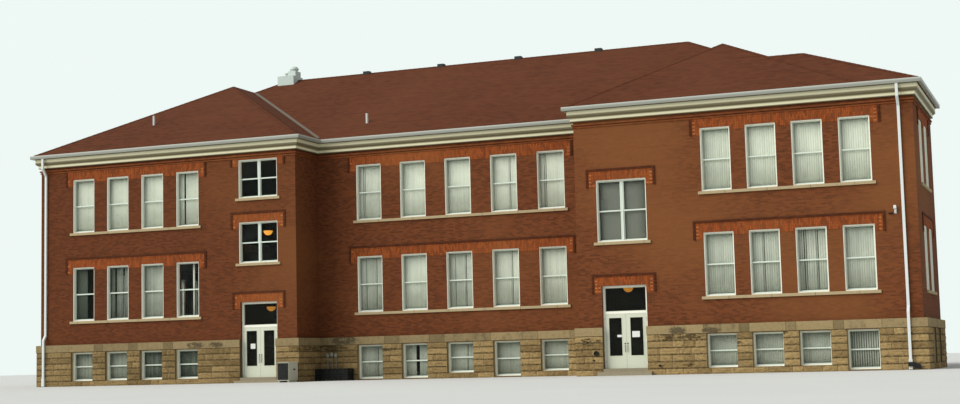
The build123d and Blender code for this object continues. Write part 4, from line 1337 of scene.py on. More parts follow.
@dataclass(frozen=True)
class Opening:
    """One window opening, turned to the front.

    Attributes:
        side: The way its wall faces.
        low: Lowest corner of its frame.
        high: Highest corner of its frame.
        panes: Boxes of its panes, from the left and from below.
        group: Name of the node that its frame belongs to.
    """

    side: Side
    low: Vector
    high: Vector
    panes: tuple[Box, ...]
    group: str

    @property
    def width(self) -> float:
        """Width of the frame."""
        return self.high.x - self.low.x

    @property
    def height(self) -> float:
        """Height of the frame."""
        return self.high.z - self.low.z

    def place(self) -> Matrix:
        """The matrix that puts a shape modelled at the frame's lowest corner in place."""
        return self.side.turn() @ Matrix.Translation(self.low)


def side_of(box: Box) -> Side:
    """The side that a thin upright box stands on.

    Args:
        box: Lowest and highest corner.

    Returns:
        The side.
    """
    along_x = box[1].x - box[0].x > box[1].y - box[0].y
    if along_x:
        return Side.FRONT if box[0].y < 0 else Side.REAR
    return Side.LEFT if box[0].x < 0 else Side.RIGHT


def openings() -> list[Opening]:
    """Read every window opening and its panes from the frame.

    Returns:
        The openings, node by node.
    """
    boxes = islands("front_glass") + islands("side_and_rear_glass")
    panes = [(side_of(box), side_of(box).local(box)) for box in boxes]
    found = []
    for node in Windows.NODES:
        for box in islands(node):
            side = side_of(box)
            low, high = side.local(box)
            inside = [
                pane
                for pane_side, pane in panes
                if pane_side is side
                and low.x < pane[0].x < high.x
                and low.z < pane[0].z < high.z
                and low.y - 0.01 < pane[0].y < high.y
            ]
            inside.sort(key=lambda pane: (round(pane[0].x, 2), pane[0].z))
            found.append(Opening(side, low, high, tuple(inside), node))
    return found


@dataclass
class Masonry:
    """Rock-faced stones of the basement and the light bricks in the bands.

    Attributes:
        runs: The straight stretches of the basement's face.
        windows: The window openings.
        courses: Levels of the joints between the courses.
        joint: Width of a joint.
        proud: How far a stone's margin stands before the mortar.
        bulge: How far its face swells out of the margin.
        lengths: Lengths that the stones are cut to.
        variants: Number of different stones of each length.
        heights: Heights that the low and the tall stones are modelled at.
        tall: Height from which a course takes tall stones.
        outer: How far the stones stand out at the corners.
        table_proud: How far the water table stands before the basement's face.
        table_outer: How far it stands out at the corners.
        slab: Length that its slabs are cut to.
        slab_joint: Width of the joint between two slabs.
        ears: Columns of light bricks in a band's ears: distance from its end and number of bricks.
        ear_pitch: Distance from one light brick to the next.
        ear_share: Share of the light bricks that are there, on the right of the front and elsewhere.
        tongue: How far the bands reach down between two windows.
        tongue_gap: Greatest distance between the two.
        reveal: Depth of a window's frame behind the brick.
        stones: The stones, by length and by low or tall.
    """

    runs: list[Run]
    windows: list[Opening]
    courses: tuple[float, ...] = (0.0, 0.22, 0.48, 0.74, 1.0, 1.26, 1.52)
    joint: float = 0.016
    proud: float = 0.003
    bulge: float = 0.03
    lengths: tuple[float, ...] = (0.4, 0.55, 0.7, 0.9)
    variants: int = 4
    heights: Pair = (0.22, 0.26)
    tall: float = 0.24
    outer: float = 0.018
    table_proud: float = 0.025
    table_outer: float = 0.03
    slab: float = 1.25
    slab_joint: float = 0.016
    ears: tuple[tuple[float, int], ...] = ((0.085, 4), (0.215, 2))
    ear_pitch: float = 0.1354
    ear_share: Pair = (1.0, 0.45)
    tongue: float = 0.135
    tongue_gap: float = 1.2
    reveal: float = 0.12
    stones: dict[tuple[float, bool], list[Template]] = field(default_factory=dict)

    def build(self) -> None:
        """Lay the stones and set the light bricks."""
        for length in self.lengths:
            for tall in (False, True):
                self.stones[length, tall] = [self.stone(length, tall, seed) for seed in range(self.variants)]
        batch = Batch("rock_faced_stones")
        for run in self.runs:
            for low, high in zip(self.courses, self.courses[1:]):
                for start, end in self.clear(run, low, high):
                    self.course(batch, run, start, end, low, high)
        batch.piece(Finish.ROCK, slot="basement_stone")
        self.table()
        self.end_bricks()
        self.tongues()

    def table(self) -> None:
        """Face the water table with dressed slabs, long over windows and short between them."""
        low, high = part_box("water_table")[0][2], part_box("water_table")[1][2]
        slab = Bench.block((0, -self.proud, 0), (1, 0.002, high - low - 0.012))
        slab.facing(Way.FRONT).divide(2)
        slab.points(lambda place: place.y < 0 and 0.1 < place.x < 0.9 and 0.05 < place.z < 0.25)
        shape = slab.move((0, -0.004, 0)).template()
        batch = Batch("water_table_slabs")
        for run in self.runs:
            start, end = run.span(self.table_outer)
            marks = {start, end}
            for window in self.windows:
                if run.holds(window) and window.low.z < 1:
                    marks.update((window.low.x - 0.1, window.high.x + 0.1))
            for left, right in zip(sorted(marks), sorted(marks)[1:]):
                count = max(1, round((right - left) / self.slab))
                wide = (right - left) / count
                tones = (0.0, 0.5) if right - left > 1.1 else (0.45, 1.0)
                fit = Matrix.Diagonal((wide - self.slab_joint, 1.0, 1.0, 1.0))
                for number in range(count):
                    along = left + wide * number + self.slab_joint / 2
                    place = Matrix.Translation((along, run.face - self.table_proud, low + 0.006))
                    batch.add(shape, run.side.turn() @ place @ fit, batch.chance.uniform(*tones))
        batch.piece(Finish.DRESSED, slot="dressed_stone")

    def end_bricks(self) -> None:
        """Set rows of light bricks on end in the dropped ears of the bands."""
        shape = carved((-0.05, -0.004, 0), (0.05, 0.004, 0.055), (Way.FRONT, 0.006, 0.001))
        batch = Batch("light_end_bricks")
        for box in islands("brick_bands"):
            side = side_of(box)
            low, high = side.local(box)
            share = self.ear_share[0 if low.x > 6 else 1]
            for end, inward in ((low.x, 1), (high.x, -1)):
                for (column, count), weight in zip(self.ears, (1.0, 0.4)):
                    for number in range(count):
                        if batch.chance.random() > share * weight:
                            continue
                        spot = (end + inward * column, low.y, low.z + 0.05 + self.ear_pitch * number)
                        batch.add(shape, side.turn() @ Matrix.Translation(spot))
        batch.piece(Finish.LIGHT_BRICK, slot="bright_brick")

    def tongues(self) -> None:
        """Lay the bright bricks that reach below the bands between two windows."""
        batch = Batch("band_tongues")
        rows: dict[tuple, list[Opening]] = {}
        for window in self.windows:
            if window.low.z > 2 and window.group != STAIRS:
                row = (window.side, round(window.low.y, 2), round(window.low.z, 2))
                rows.setdefault(row, []).append(window)
        for row in rows.values():
            row.sort(key=lambda window: window.low.x)
            for left, right in zip(row, row[1:]):
                if right.low.x - left.high.x > self.tongue_gap:
                    continue
                face = left.low.y - self.reveal
                low = (left.high.x, face - 0.0115, left.high.z - self.tongue)
                high = (right.low.x, face + 0.001, left.high.z)
                batch.put(carved(low, high, (Way.FRONT, 0.004, 0.0004)), left.side.turn())
        batch.piece(Finish.BAND, slot="bright_brick")

    def stone(self, length: float, tall: bool, seed: int) -> Template:
        """Dress one stone.

        Args:
            length: Its length.
            tall: Whether it is for a tall course.
            seed: Number of the variant.

        Returns:
            The stone, one unit long and high, with its back at depth 0.
        """
        height = self.heights[tall]
        front = -self.proud
        bench = Bench.block((0, front, 0), (length, 0.004, height))
        bench.facing(Way.FRONT).divide(4)
        bench.points(
            lambda place: place.y < front + 0.001
            and 0.01 < place.x < length - 0.01
            and 0.01 < place.z < height - 0.01
        )
        bench.move((0, -self.bulge * 0.75, 0))
        bench.roughen(0.016, 7 * seed + int(length * 100))
        made = bench.template()
        made.points[:, 0] = (made.points[:, 0] / length).clip(0, 1)
        made.points[:, 2] = (made.points[:, 2] / height).clip(0, 1)
        made.points[:, 1] = made.points[:, 1].clip(front - self.bulge, 0.004)
        return made

    def clear(self, run: Run, low: float, high: float) -> Iterator[Pair]:
        """The stretches of a course that no window cuts.

        Args:
            run: The run of wall.
            low: Bottom of the course.
            high: Top of the course.

        Yields:
            Start and end of each stretch.
        """
        start, end = run.span(self.outer)
        holes = sorted(
            (window.low.x, window.high.x)
            for window in self.windows
            if run.holds(window) and window.low.z < high - 0.05 and window.high.z > low + 0.05
        )
        for left, right in holes:
            yield start, left
            start = right
        yield start, end

    def course(self, batch: Batch, run: Run, start: float, end: float, low: float, high: float) -> None:
        """Lay one stretch of a course.

        Args:
            batch: The batch of stones.
            run: The run of wall.
            start: Where the stretch starts.
            end: Where it ends.
            low: Bottom of the course.
            high: Top of the course.
        """
        tall = high - low > self.tall
        sizes = []
        while sum(sizes) < end - start - 0.25:
            sizes.append(batch.chance.choice(self.lengths))
        sizes = sizes or [end - start]
        stretch = (end - start) / sum(sizes)
        spot = start
        for size in sizes:
            wide = size * stretch
            key = min(self.lengths, key=lambda length: abs(length - wide))
            template = batch.chance.choice(self.stones[key, tall])
            place = Matrix.Translation((spot + self.joint / 2, run.face, low + self.joint / 2))
            fit = Matrix.Diagonal((wide - self.joint, 1.0, high - low - self.joint, 1.0))
            batch.add(template, run.side.turn() @ place @ fit)
            spot += wide


class Blind(Enum):
    """How far a blind covers its window, as spans of the window's width."""

    CLOSED = ((0.0, 1.0),)
    LEFT_HALF = ((0.0, 0.52),)
    SLIT_LEFT = ((0.0, 0.17), (0.26, 1.0))
    SLIT_RIGHT = ((0.0, 0.62), (0.72, 1.0))
    STACKED = ((0.58, 0.71),)
    OPEN_LEFT = ((0.0, 0.2), (0.33, 1.0))
    FOLDS = ((0.0, 0.22), (0.3, 0.62), (0.68, 0.84), (0.92, 1.0))
    SLIT_MIDDLE = ((0.0, 0.4), (0.48, 1.0))
    SLITS = ((0.0, 0.18), (0.27, 0.64), (0.72, 1.0))
    DRAPED = ((0.0, 0.42), (0.6, 1.0))
    RIBBED = ((-0.1, 1.1),)
    SHADED = ((-1.0, -1.0),)
    BARE = ()


@dataclass
class Windows:
    """Sash windows and the blinds behind them.

    Attributes:
        NODES: The nodes of plain frames that the sashes stand in place of.
        STATES: How the blinds on the front hang, by group and storey, then by number from the left.
        SHADES: Usual tone of the vanes, by storey, darker lower down as painted shade.
        TONES: Tone of the vanes in single windows of the front; the dark ones paint the shade of dim
            windows.
        windows: The window openings.
        box_side: Width of the outer frame's sides.
        box_head: Height of its head.
        box_foot: Height of its foot.
        depth: Depth of the outer frame.
        stile: Width of a sash's stiles and rails.
        rail: Height of the meeting rails.
        lap: How far a sash covers the edge of its pane.
        vane: Width of a vane of the blinds.
        pitch: Distance between two vanes.
        hang: Depth at which the blinds hang.
        margin: Gap at each side of a blind.
        head_gap: How much lower than the window the vanes are.
        lifts: Usual height of the vanes' feet, and that of every fourth blind.
        parted: Turn of the vanes where a blind is parted, in degrees.
        ribbed: Turn of the vanes of a ribbed blind.
        casing_width: Width of the painted lining of the opening.
        splay: How much wider the lining is at its back.
        casing_depth: Depth of the lining.
        casing_tone: Its tone.
        jamb: Width of the stone lining before it, in the thicker basement wall.
        models: Shapes made so far, by size.
    """

    NODES = (LEFT_WING, STAIRS, CENTRE, RIGHT_WING, OTHERS)
    STATES = {
        (LEFT_WING, 2): {3: Blind.OPEN_LEFT},
        (LEFT_WING, 1): {0: Blind.LEFT_HALF, 1: Blind.FOLDS, 3: Blind.STACKED},
        (CENTRE, 2): {0: Blind.SLIT_LEFT, 3: Blind.SLIT_RIGHT, 4: Blind.SLIT_LEFT},
        (CENTRE, 1): {0: Blind.SLITS, 2: Blind.SLITS, 3: Blind.SLIT_RIGHT},
        (CENTRE, 0): {0: Blind.SLIT_RIGHT, 1: Blind.DRAPED, 2: Blind.SLIT_RIGHT},
        (RIGHT_WING, 1): {1: Blind.SLIT_MIDDLE, 2: Blind.SLITS},
        (RIGHT_WING, 0): {3: Blind.RIBBED},
    }
    SHADES = (0.46, 0.2, 0.02)
    TONES = {
        (LEFT_WING, 2): {0: 0.0, 1: 0.07, 3: 0.18},
        (LEFT_WING, 1): {0: 1.08, 1: 0.86, 2: 0.56, 3: 0.3},
        (LEFT_WING, 0): {0: 0.63, 1: 0.65, 2: 0.96, 3: 1.02},
        (CENTRE, 1): {0: 0.36, 2: 0.33},
        (CENTRE, 0): {3: 0.47},
        (RIGHT_WING, 1): {0: 0.35, 1: 0.3, 2: 0.3, 3: 0.28},
    }

    windows: list[Opening]
    box_side: float = 0.030
    box_head: float = 0.035
    box_foot: float = 0.040
    depth: float = 0.100
    stile: float = 0.036
    rail: float = 0.050
    lap: float = 0.003
    vane: float = 0.089
    pitch: float = 0.080
    hang: float = 0.138
    margin: float = 0.02
    head_gap: float = 0.075
    lifts: Pair = (0.02, 0.06)
    parted: float = 48
    ribbed: float = -30
    casing_width: float = 0.03
    splay: float = 0.026
    casing_depth: float = 0.1
    casing_tone: float = 0.3
    jamb: float = 0.014
    models: dict[tuple[int, ...], list[Template]] = field(default_factory=dict)

    def build(self) -> None:
        """Fit the sashes and hang the blinds."""
        casings, jambs = Batch("window_casings"), Batch("basement_jambs")
        for window in self.windows:
            lining = self.casing(window, 0.0, self.casing_width, self.splay)
            casings.add(lining, window.place(), self.casing_tone)
            if self.storey(window) == 0:
                jambs.add(self.casing(window, self.casing_depth, self.jamb, 0.0), window.place())
        casings.piece(Finish.CASING, slot="white_wood")
        jambs.piece(Finish.SILL, slot="dressed_stone")
        for node in self.NODES:
            batch = Batch(node.replace("window_frames", "sashes"))
            for window in self.windows:
                if window.group == node:
                    for part in self.model(window):
                        batch.add(part, window.place())
            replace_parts(batch.piece(Finish.FRAME, slot="white_wood"), node)
        self.blinds()

    def casing(self, window: Opening, start: float, wide: float, splay: float) -> Template:
        """Model a lining between the masonry's face and the frame.

        Args:
            window: The opening.
            start: How far its back lies before the frame.
            wide: Width of its front edge.
            splay: How much wider it is at its back.

        Returns:
            The lining, from the frame's lowest corner.
        """
        key = (round(window.width * 1000), round(window.height * 1000), round(start * 1000), -1)
        if key not in self.models:
            front, back = -start - self.casing_depth, 0.002 - start
            low, high = (0.001, front, 0.001), (window.width - 0.001, back, window.height - 0.001)
            faces = (Way.FRONT, Way.BACK)
            bench = Bench.block(low, high).facing(*faces).inset(wide)
            middle, centre = window.width / 2, window.height / 2
            if splay:
                bench.points(
                    lambda place: place.y > back - 0.003
                    and abs(place.x - middle) < middle - wide / 2
                    and abs(place.z - centre) < centre - wide / 2
                )
                bench.scale((1 - splay / middle, 1, 1 - splay / centre), (middle, 0, centre))
            bench.facing(
                *faces, where=lambda place: max(abs(place.x - middle), abs(place.z - centre)) < 0.001
            )
            self.models[key] = [bench.bridge().template()]
        return self.models[key][0]

    def model(self, window: Opening) -> list[Template]:
        """Model the frame and sashes of one size of window.

        Args:
            window: The opening.

        Returns:
            Its parts, from the frame's lowest corner.
        """
        key = (round(window.width * 1000), round(window.height * 1000))
        if key not in self.models:
            panes = [(low - window.low, high - window.low) for low, high in window.panes]
            size = (window.width, self.depth, window.height)
            parts = [ring((0, 0, 0), size, self.box_side, self.box_foot, self.box_head, 0.004)]
            for lower, upper in zip(panes[0::2], panes[1::2]):
                parts.append(self.sash(upper, 0.020, self.rail, self.stile + 0.004))
                parts.append(self.sash(lower, 0.054, self.stile + 0.014, self.rail))
            if len(panes) > 2:
                edge = panes[0][1].x + self.stile - 0.001
                far = panes[2][0].x - self.stile + 0.001
                low, high = (edge, 0.004, self.box_foot), (far, 0.096, window.height - self.box_head)
                parts.append(carved(low, high, (Way.FRONT, 0.022, -0.008), chamfer=0.003))
            self.models[key] = parts
        return self.models[key]

    def sash(self, pane: Box, front: float, foot: float, head: float) -> Template:
        """Model one sash round its pane.

        Args:
            pane: The pane's box.
            front: Depth of the sash's outer face.
            foot: Height of its bottom rail.
            head: Height of its top rail.

        Returns:
            The sash.
        """
        low = (pane[0].x - self.stile, front, pane[0].z - foot)
        high = (pane[1].x + self.stile, front + 0.032, pane[1].z + head)
        lap = self.lap
        return ring(low, high, self.stile + lap, foot + lap, head + lap, 0.005)

    def state(self, window: Opening, chance: random.Random) -> Blind:
        """How the blind of a window hangs.

        Args:
            window: The opening.
            chance: Source of the states that the front doesn't give.

        Returns:
            The state.
        """
        if window.group == STAIRS:
            return Blind.SHADED if window.low.x > 0 else Blind.BARE
        if window.side is not Side.FRONT:
            return chance.choice((Blind.CLOSED,) * 5 + (Blind.SLIT_LEFT,))
        return self.listed(self.STATES, window, Blind.CLOSED)

    def listed(self, table: dict[tuple[str, int], dict], window: Opening, usual: object) -> object:
        """Look up a window of the front in a table.

        Args:
            table: The table, by group and storey, then by number from the left.
            window: The opening.
            usual: What holds for a window that the table leaves out.

        Returns:
            What the table says.
        """
        storey = self.storey(window)
        row = sorted(
            other.low.x
            for other in self.windows
            if other.group == window.group and self.storey(other) == storey and other.side is window.side
        )
        return table.get((window.group, storey), {}).get(row.index(window.low.x), usual)

    @staticmethod
    def storey(window: Opening) -> int:
        """The storey of a window: 0 for the basement, then 1 and 2."""
        return 0 if window.low.z < 1 else (1 if window.low.z < 5 else 2)

    def blinds(self) -> None:
        """Hang vertical vanes behind the windows."""
        chance = random.Random(SEED)
        vane = self.vane_shape()
        rails, shades = Batch("blind_rails"), Batch("grey_roller_shades")
        groups = {"front": Batch("front_blind_vanes"), "other": Batch("side_and_rear_blind_vanes")}
        for window in self.windows:
            state = self.state(window, chance)
            if state is Blind.BARE:
                continue
            place = window.place()
            rails.put(self.head_rail(window.width), place @ Matrix.Translation((0, 0, window.height)))
            if state is Blind.SHADED:
                shades.put(self.shade(window), place)
                continue
            batch = groups["front" if window.side is Side.FRONT else "other"]
            self.hang_vanes(batch, window, state, vane, chance)
        rails.piece(Finish.SPOUT)
        shades.piece(Finish.SHADE)
        for batch in groups.values():
            batch.piece(Finish.VANE)

    def hang_vanes(
        self, batch: Batch, window: Opening, state: Blind, vane: Template, chance: random.Random
    ) -> None:
        """Hang the vanes of one blind.

        Args:
            batch: The batch of vanes.
            window: The opening.
            state: How far the blind covers it.
            vane: The shape of a vane.
            chance: Source of the small differences.
        """
        wide, tall = window.width - 2 * self.margin, window.height - self.head_gap
        count = int(wide / self.pitch)
        step = wide / count
        lift = self.lifts[0 if chance.random() < 0.75 else 1]
        turn = chance.uniform(4, 9) if state is not Blind.RIBBED else self.ribbed
        # Darker vanes on lower storeys and in dim windows are painted shade.
        shade = self.SHADES[self.storey(window)] + chance.uniform(-0.035, 0.035)
        if window.side is Side.FRONT:
            shade = self.listed(self.TONES, window, shade)
        for number in range(count):
            share = (number + 0.5) / count
            covered = any(start <= share <= end for start, end in state.value)
            if not covered and not state.name.startswith("SLIT"):
                continue
            spot = (self.margin + step * (number + 0.5), self.hang + chance.uniform(-0.002, 0.002), lift)
            angle = math.radians(turn + chance.uniform(-2, 2) + (0 if covered else self.parted))
            fit = Matrix.Diagonal((1.0, 1.0, tall - lift, 1.0))
            turned = Matrix.Translation(spot) @ Matrix.Rotation(angle, 4, "Z") @ fit
            batch.add(vane, window.place() @ turned, shade + 0.11 * chance.random() ** 2)

    def shade(self, window: Opening) -> Template:
        """Model a grey roller shade that hangs to the sill.

        Args:
            window: The opening.

        Returns:
            The shade, from the frame's lowest corner.
        """
        low = (self.margin, self.hang, 0.03)
        high = (window.width - self.margin, self.hang + 0.0015, window.height - 0.05)
        bench = Bench.block(low, high).everything().divide(3)
        bench.points(lambda place: 0.1 < place.x < window.width - 0.1 and place.z < window.height / 2)
        bench.move((0, 0.01, 0))
        return bench.facing(Way.DOWN).extrude((0, 0, -0.02)).template(smooth=True)

    def vane_shape(self) -> Template:
        """Model one vane, one unit high and bowed across its width.

        Returns:
            The vane.
        """
        half = self.vane / 2
        bench = Bench.block((-half, -0.0004, 0), (half, 0.0004, 1))
        for share in (-0.5, 0.0, 0.5):
            bench.slice((share * half, 0, 0), (1, 0, 0))
        bench.points(lambda place: abs(place.x) < half * 0.6).move((0, -0.005, 0))
        bench.points(lambda place: abs(place.x) < half * 0.2).move((0, -0.002, 0))
        return bench.template(smooth=True)

    def head_rail(self, width: float) -> Template:
        """Model the rail that the vanes hang from.

        Args:
            width: Width of the opening.

        Returns:
            The rail, below the level 0.
        """
        key = (round(width * 1000),)
        if key not in self.models:
            low, high = (0.005, self.hang - 0.03, -0.05), (width - 0.005, self.hang + 0.03, -0.004)
            self.models[key] = [carved(low, high, (Way.DOWN, 0.012, -0.01), chamfer=0.004)]
        return self.models[key][0]


@dataclass
class RoofTrim:
    """Caps over the hips and ridges.

    Attributes:
        reach: How far a cap reaches down each slope.
        length: Length of one cap.
        exposure: Distance from one cap to the next.
        thickness: Thickness of a cap.
    """

    reach: float = 0.15
    length: float = 0.34
    exposure: float = 0.26
    thickness: float = 0.006

    def build(self) -> None:
        """Lay caps on every outward crease of the roofs."""
        batch = Batch("hip_and_ridge_caps")
        for node in ("main_roof", "left_wing_roof", "right_wing_roof", "bay_roof"):
            for start, end, first, second in self.creases(node):
                self.lay(batch, start, end, first, second)
        batch.piece(Finish.CAP, slot="shingle")

    def creases(self, node: str) -> Iterator[tuple[Vector, Vector, Vector, Vector]]:
        """Find the hips and ridges of a roof.

        Args:
            node: Name of the roof's node.

        Yields:
            Lower end, upper end and the normals of the two slopes.
        """
        mesh = bmesh.new()
        mesh.from_mesh(bpy.data.objects[node].data)
        bmesh.ops.remove_doubles(mesh, verts=mesh.verts, dist=0.0005)
        mesh.normal_update()
        for edge in mesh.edges:
            if len(edge.link_faces) != 2 or edge.calc_length() < 1.0:
                continue
            first, second = (face.normal.copy() for face in edge.link_faces)
            if min(first.z, second.z) < 0.5 or first.angle(second) < 0.1 or not edge.is_convex:
                continue
            low, high = sorted((point.co.copy() for point in edge.verts), key=lambda place: place.z)
            yield low, high, first, second
        mesh.free()

    def lay(self, batch: Batch, low: Vector, high: Vector, first: Vector, second: Vector) -> None:
        """Lay the caps of one crease, each over the one below it.

        Args:
            batch: The batch of caps.
            low: Lower end of the crease.
            high: Its upper end.
            first: Normal of one slope.
            second: Normal of the other slope.
        """
        along = (high - low).normalized()
        upright = (first + second).normalized()
        across = along.cross(upright)
        cap = self.cap(math.atan2(abs(first.dot(across)), first.dot(upright)))
        total = (high - low).length
        count = max(1, round(total / self.exposure))
        axes = Matrix((along, across, upright)).transposed().to_4x4()
        for number in range(count):
            spot = low + along * (number * total / count)
            spare = total - number * total / count
            fit = Matrix.Diagonal((min(1.0, spare / self.length), 1.0, 1.0, 1.0))
            batch.add(cap, Matrix.Translation(spot) @ axes @ fit)

    def cap(self, lean: float) -> Template:
        """Model one folded cap.

        Args:
            lean: How much each slope leans from the crease's own level.

        Returns:
            The cap, with its length along X.
        """
        bench = Bench.block((0, -self.reach, 0.002), (self.length, self.reach, 0.002 + self.thickness))
        bench.slice((0, 0, 0), (0, 1, 0))
        drop = math.tan(lean) * self.reach
        bench.points(lambda place: abs(place.y) > self.reach / 2).move((0, 0, -drop))
        squeeze = math.cos(lean)
        bench.everything().scale((1.0, squeeze, 1.0), (0, 0, 0))
        bench.points(lambda place: abs(place.y) > 0.01).move((0, 0, drop * (1 - squeeze)))
        bench.points(lambda place: place.x < 0.01).move((0, 0, 0.008))
        return bench.template()


@dataclass
class Entrances:
    """Fittings of the two double doors: beads, locks, pulls and blank notices.

    Attributes:
        thickness: Thickness of a leaf.
        bead: Width of the bead round a light.
        proud: How far the bead stands before the leaf.
        lock_level: Height of the lock above the leaf's bottom.
        lock_edge: Distance of the lock from the meeting edge.
        lock_radius: Radius of the lock's cylinder.
        pull_length: Length of a pull.
        pull_radius: Radius of its grip.
        stand_off: Distance of the grip from the leaf.
        sheets: Leaf of each notice, with the notice's two ends and its bottom and top.
    """

    thickness: float = 0.045
    bead: float = 0.02
    proud: float = 0.006
    lock_level: float = 0.95
    lock_edge: float = 0.05
    lock_radius: float = 0.021
    pull_length: float = 0.24
    pull_radius: float = 0.009
    stand_off: float = 0.032
    sheets: tuple[tuple[str, Pair, Pair], ...] = (
        ("left_door_left_leaf", (-8.64, -8.41), (1.44, 1.66)),
        ("right_door_right_leaf", (8.55, 8.85), (1.45, 1.68)),
        ("right_door_left_leaf", (7.955, 8.135), (1.465, 1.555)),
    )

    def build(self) -> None:
        """Fit out both entrances."""
        for door in ("left", "right"):
            for hand, inward in (("left", 1), ("right", -1)):
                name = f"{door}_door_{hand}_leaf"
                leaf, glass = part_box(name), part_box(f"{name}_glass")
                front = leaf[1][1] - self.thickness
                self.beads(name, glass, front)
                self.lock(name, leaf, inward, front)
        self.transoms()
        self.notices()

    def beads(self, name: str, glass: Box, front: float) -> None:
        """Frame a leaf's light with a bead on both faces.

        Args:
            name: Name of the leaf.
            glass: Box of its light.
            front: Depth of its outer face.
        """
        low, high = Vector(glass[0]), Vector(glass[1])
        wide, back = self.bead, front + self.thickness
        batch = Batch(f"{name}_beads")
        for near, far in ((front - self.proud, low.y + 0.001), (high.y - 0.001, back + self.proud)):
            corners = (low.x - wide, near, low.z - wide), (high.x + wide, far, high.z + wide)
            batch.put(ring(*corners, wide + 0.006, wide + 0.006, wide + 0.006, 0.004))
        batch.piece(Finish.DOOR, name, "door_paint")

    def lock(self, name: str, leaf: Box, inward: int, front: float) -> None:
        """Fit the lock cylinder and the pull beside the meeting edge.

        Args:
            name: Name of the leaf.
            leaf: Its box.
            inward: 1 where the meeting edge is at its right, and -1 at its left.
            front: Depth of its outer face.
        """
        edge = leaf[1][0] if inward > 0 else leaf[0][0]
        x, z = edge - inward * self.lock_edge, leaf[0][2] + self.lock_level
        batch = Batch(f"{name}_lock")
        rose = Bench.rod((x, front - 0.006, z), self.lock_radius * 1.3, 0.012, TO_FRONT)
        rose.facing(Way.FRONT).inset(0.006)
        rose.extrude((0, -0.01, 0)).inset(0.008, -0.003)
        batch.put(rose.bevel(0.0015).template())
        foot = z - 0.07
        for level in (foot, foot - self.pull_length):
            post = Bench.rod((x, front - self.stand_off / 2, level), 0.007, self.stand_off, TO_FRONT, 12)
            post.facing(Way.BACK).inset(-0.006).extrude((0, 0.001, 0))
            batch.put(post.bevel(0.001).template())
        middle = (x, front - self.stand_off, foot - self.pull_length / 2)
        grip = Bench.rod(middle, self.pull_radius, self.pull_length + 0.04, count=12)
        batch.put(grip.bevel(0.003, 2).template(smooth=True))
        batch.piece(Finish.IRON, name)

    def transoms(self) -> None:
        """Frame the transom lights with beads."""
        batch = Batch("transom_beads")
        for low, high in islands("transom_glass"):
            start = (low.x - 0.004, low.y - 0.014, low.z - 0.004)
            end = (high.x + 0.004, low.y + 0.001, high.z + 0.004)
            batch.put(ring(start, end, 0.022, 0.022, 0.022, 0.004))
        batch.piece(Finish.DOOR, slot="door_paint")

    def notices(self) -> None:
        """Fix the blank sheets of paper on the glass."""
        for name, (left, right), (bottom, top) in self.sheets:
            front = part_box(f"{name}_glass")[0][1] - 0.0012
            bench = Bench.panel((left, front, bottom), (right, front, top)).everything().divide(3)
            bench.points(lambda place: place.z < bottom + 0.01 and place.x > right - 0.03)
            bench.move((0, -0.004, 0.002))
            batch = Batch(f"{name}_notice")
            batch.put(bench.template(smooth=True))
            batch.piece(Finish.PAPER, name)


@dataclass
class Lamps:
    """Amber bowl lamps that hang on wall arms in the two stair halls.

    Attributes:
        radius: Radius of a bowl.
        height: Height of a bowl.
        arm: Height of the arm above the bowl's rim.
        inner: Depth of the inner wall face behind a lamp, by hall.
        places: Middle of each bowl's rim, with its hall.
    """

    radius: float = 0.2
    height: float = 0.2
    arm: float = 0.38
    inner: dict[str, float] = field(default_factory=lambda: {"left": -7.785, "right": -8.725})
    places: tuple[tuple[str, float, float, float], ...] = (
        ("left", -7.967, -7.43, 3.24),
        ("left", -8.08, -7.43, 6.53),
        ("right", 8.272, -8.37, 3.4),
    )

    def build(self) -> None:
        """Hang the lamps."""
        bowls, stems = Batch("amber_bowls"), Batch("lamp_arms")
        bowl, rim = self.bowl(), self.rim()
        for hall, x, y, z in self.places:
            spot = Matrix.Translation((x, y, z))
            bowls.put(bowl, spot)
            stems.put(rim, spot)
            reach = y - self.inner[hall]
            stem = Bench.rod((x, y, z + self.arm / 2), 0.012, self.arm, count=10)
            stems.put(stem.template(smooth=True))
            arm = Bench.rod((x, y - reach / 2, z + self.arm), 0.014, reach, TO_FRONT, 10)
            arm.facing(Way.FRONT).inset(-0.04).extrude((0, 0.012, 0))
            stems.put(arm.template())
        bowls.piece(Finish.LAMP)
        stems.piece(Finish.IRON)

    def bowl(self) -> Template:
        """Model the bowl: the lower half of a sphere, hollowed.

        Returns:
            The bowl.
        """
        bench = Bench.ball(self.radius).slice((0, 0, 0), (0, 0, 1), halve=True)
        bench.everything().scale((1, 1, self.height / self.radius), (0, 0, 0))
        bench.facing(Way.UP, where=lambda place: place.z > -0.01)
        bench.inset(0.01).extrude((0, 0, -0.03)).scale((0.9, 0.9, 1), (0, 0, 0))
        return bench.template(smooth=True)

    def rim(self) -> Template:
        """Model the dark hoop round the bowl's rim."""
        bench = Bench.rod((0, 0, 0.006), self.radius + 0.008, 0.024, count=28)
        return bench.facing(Way.UP, Way.DOWN).inset(0.02).bridge().bevel(0.003).template()


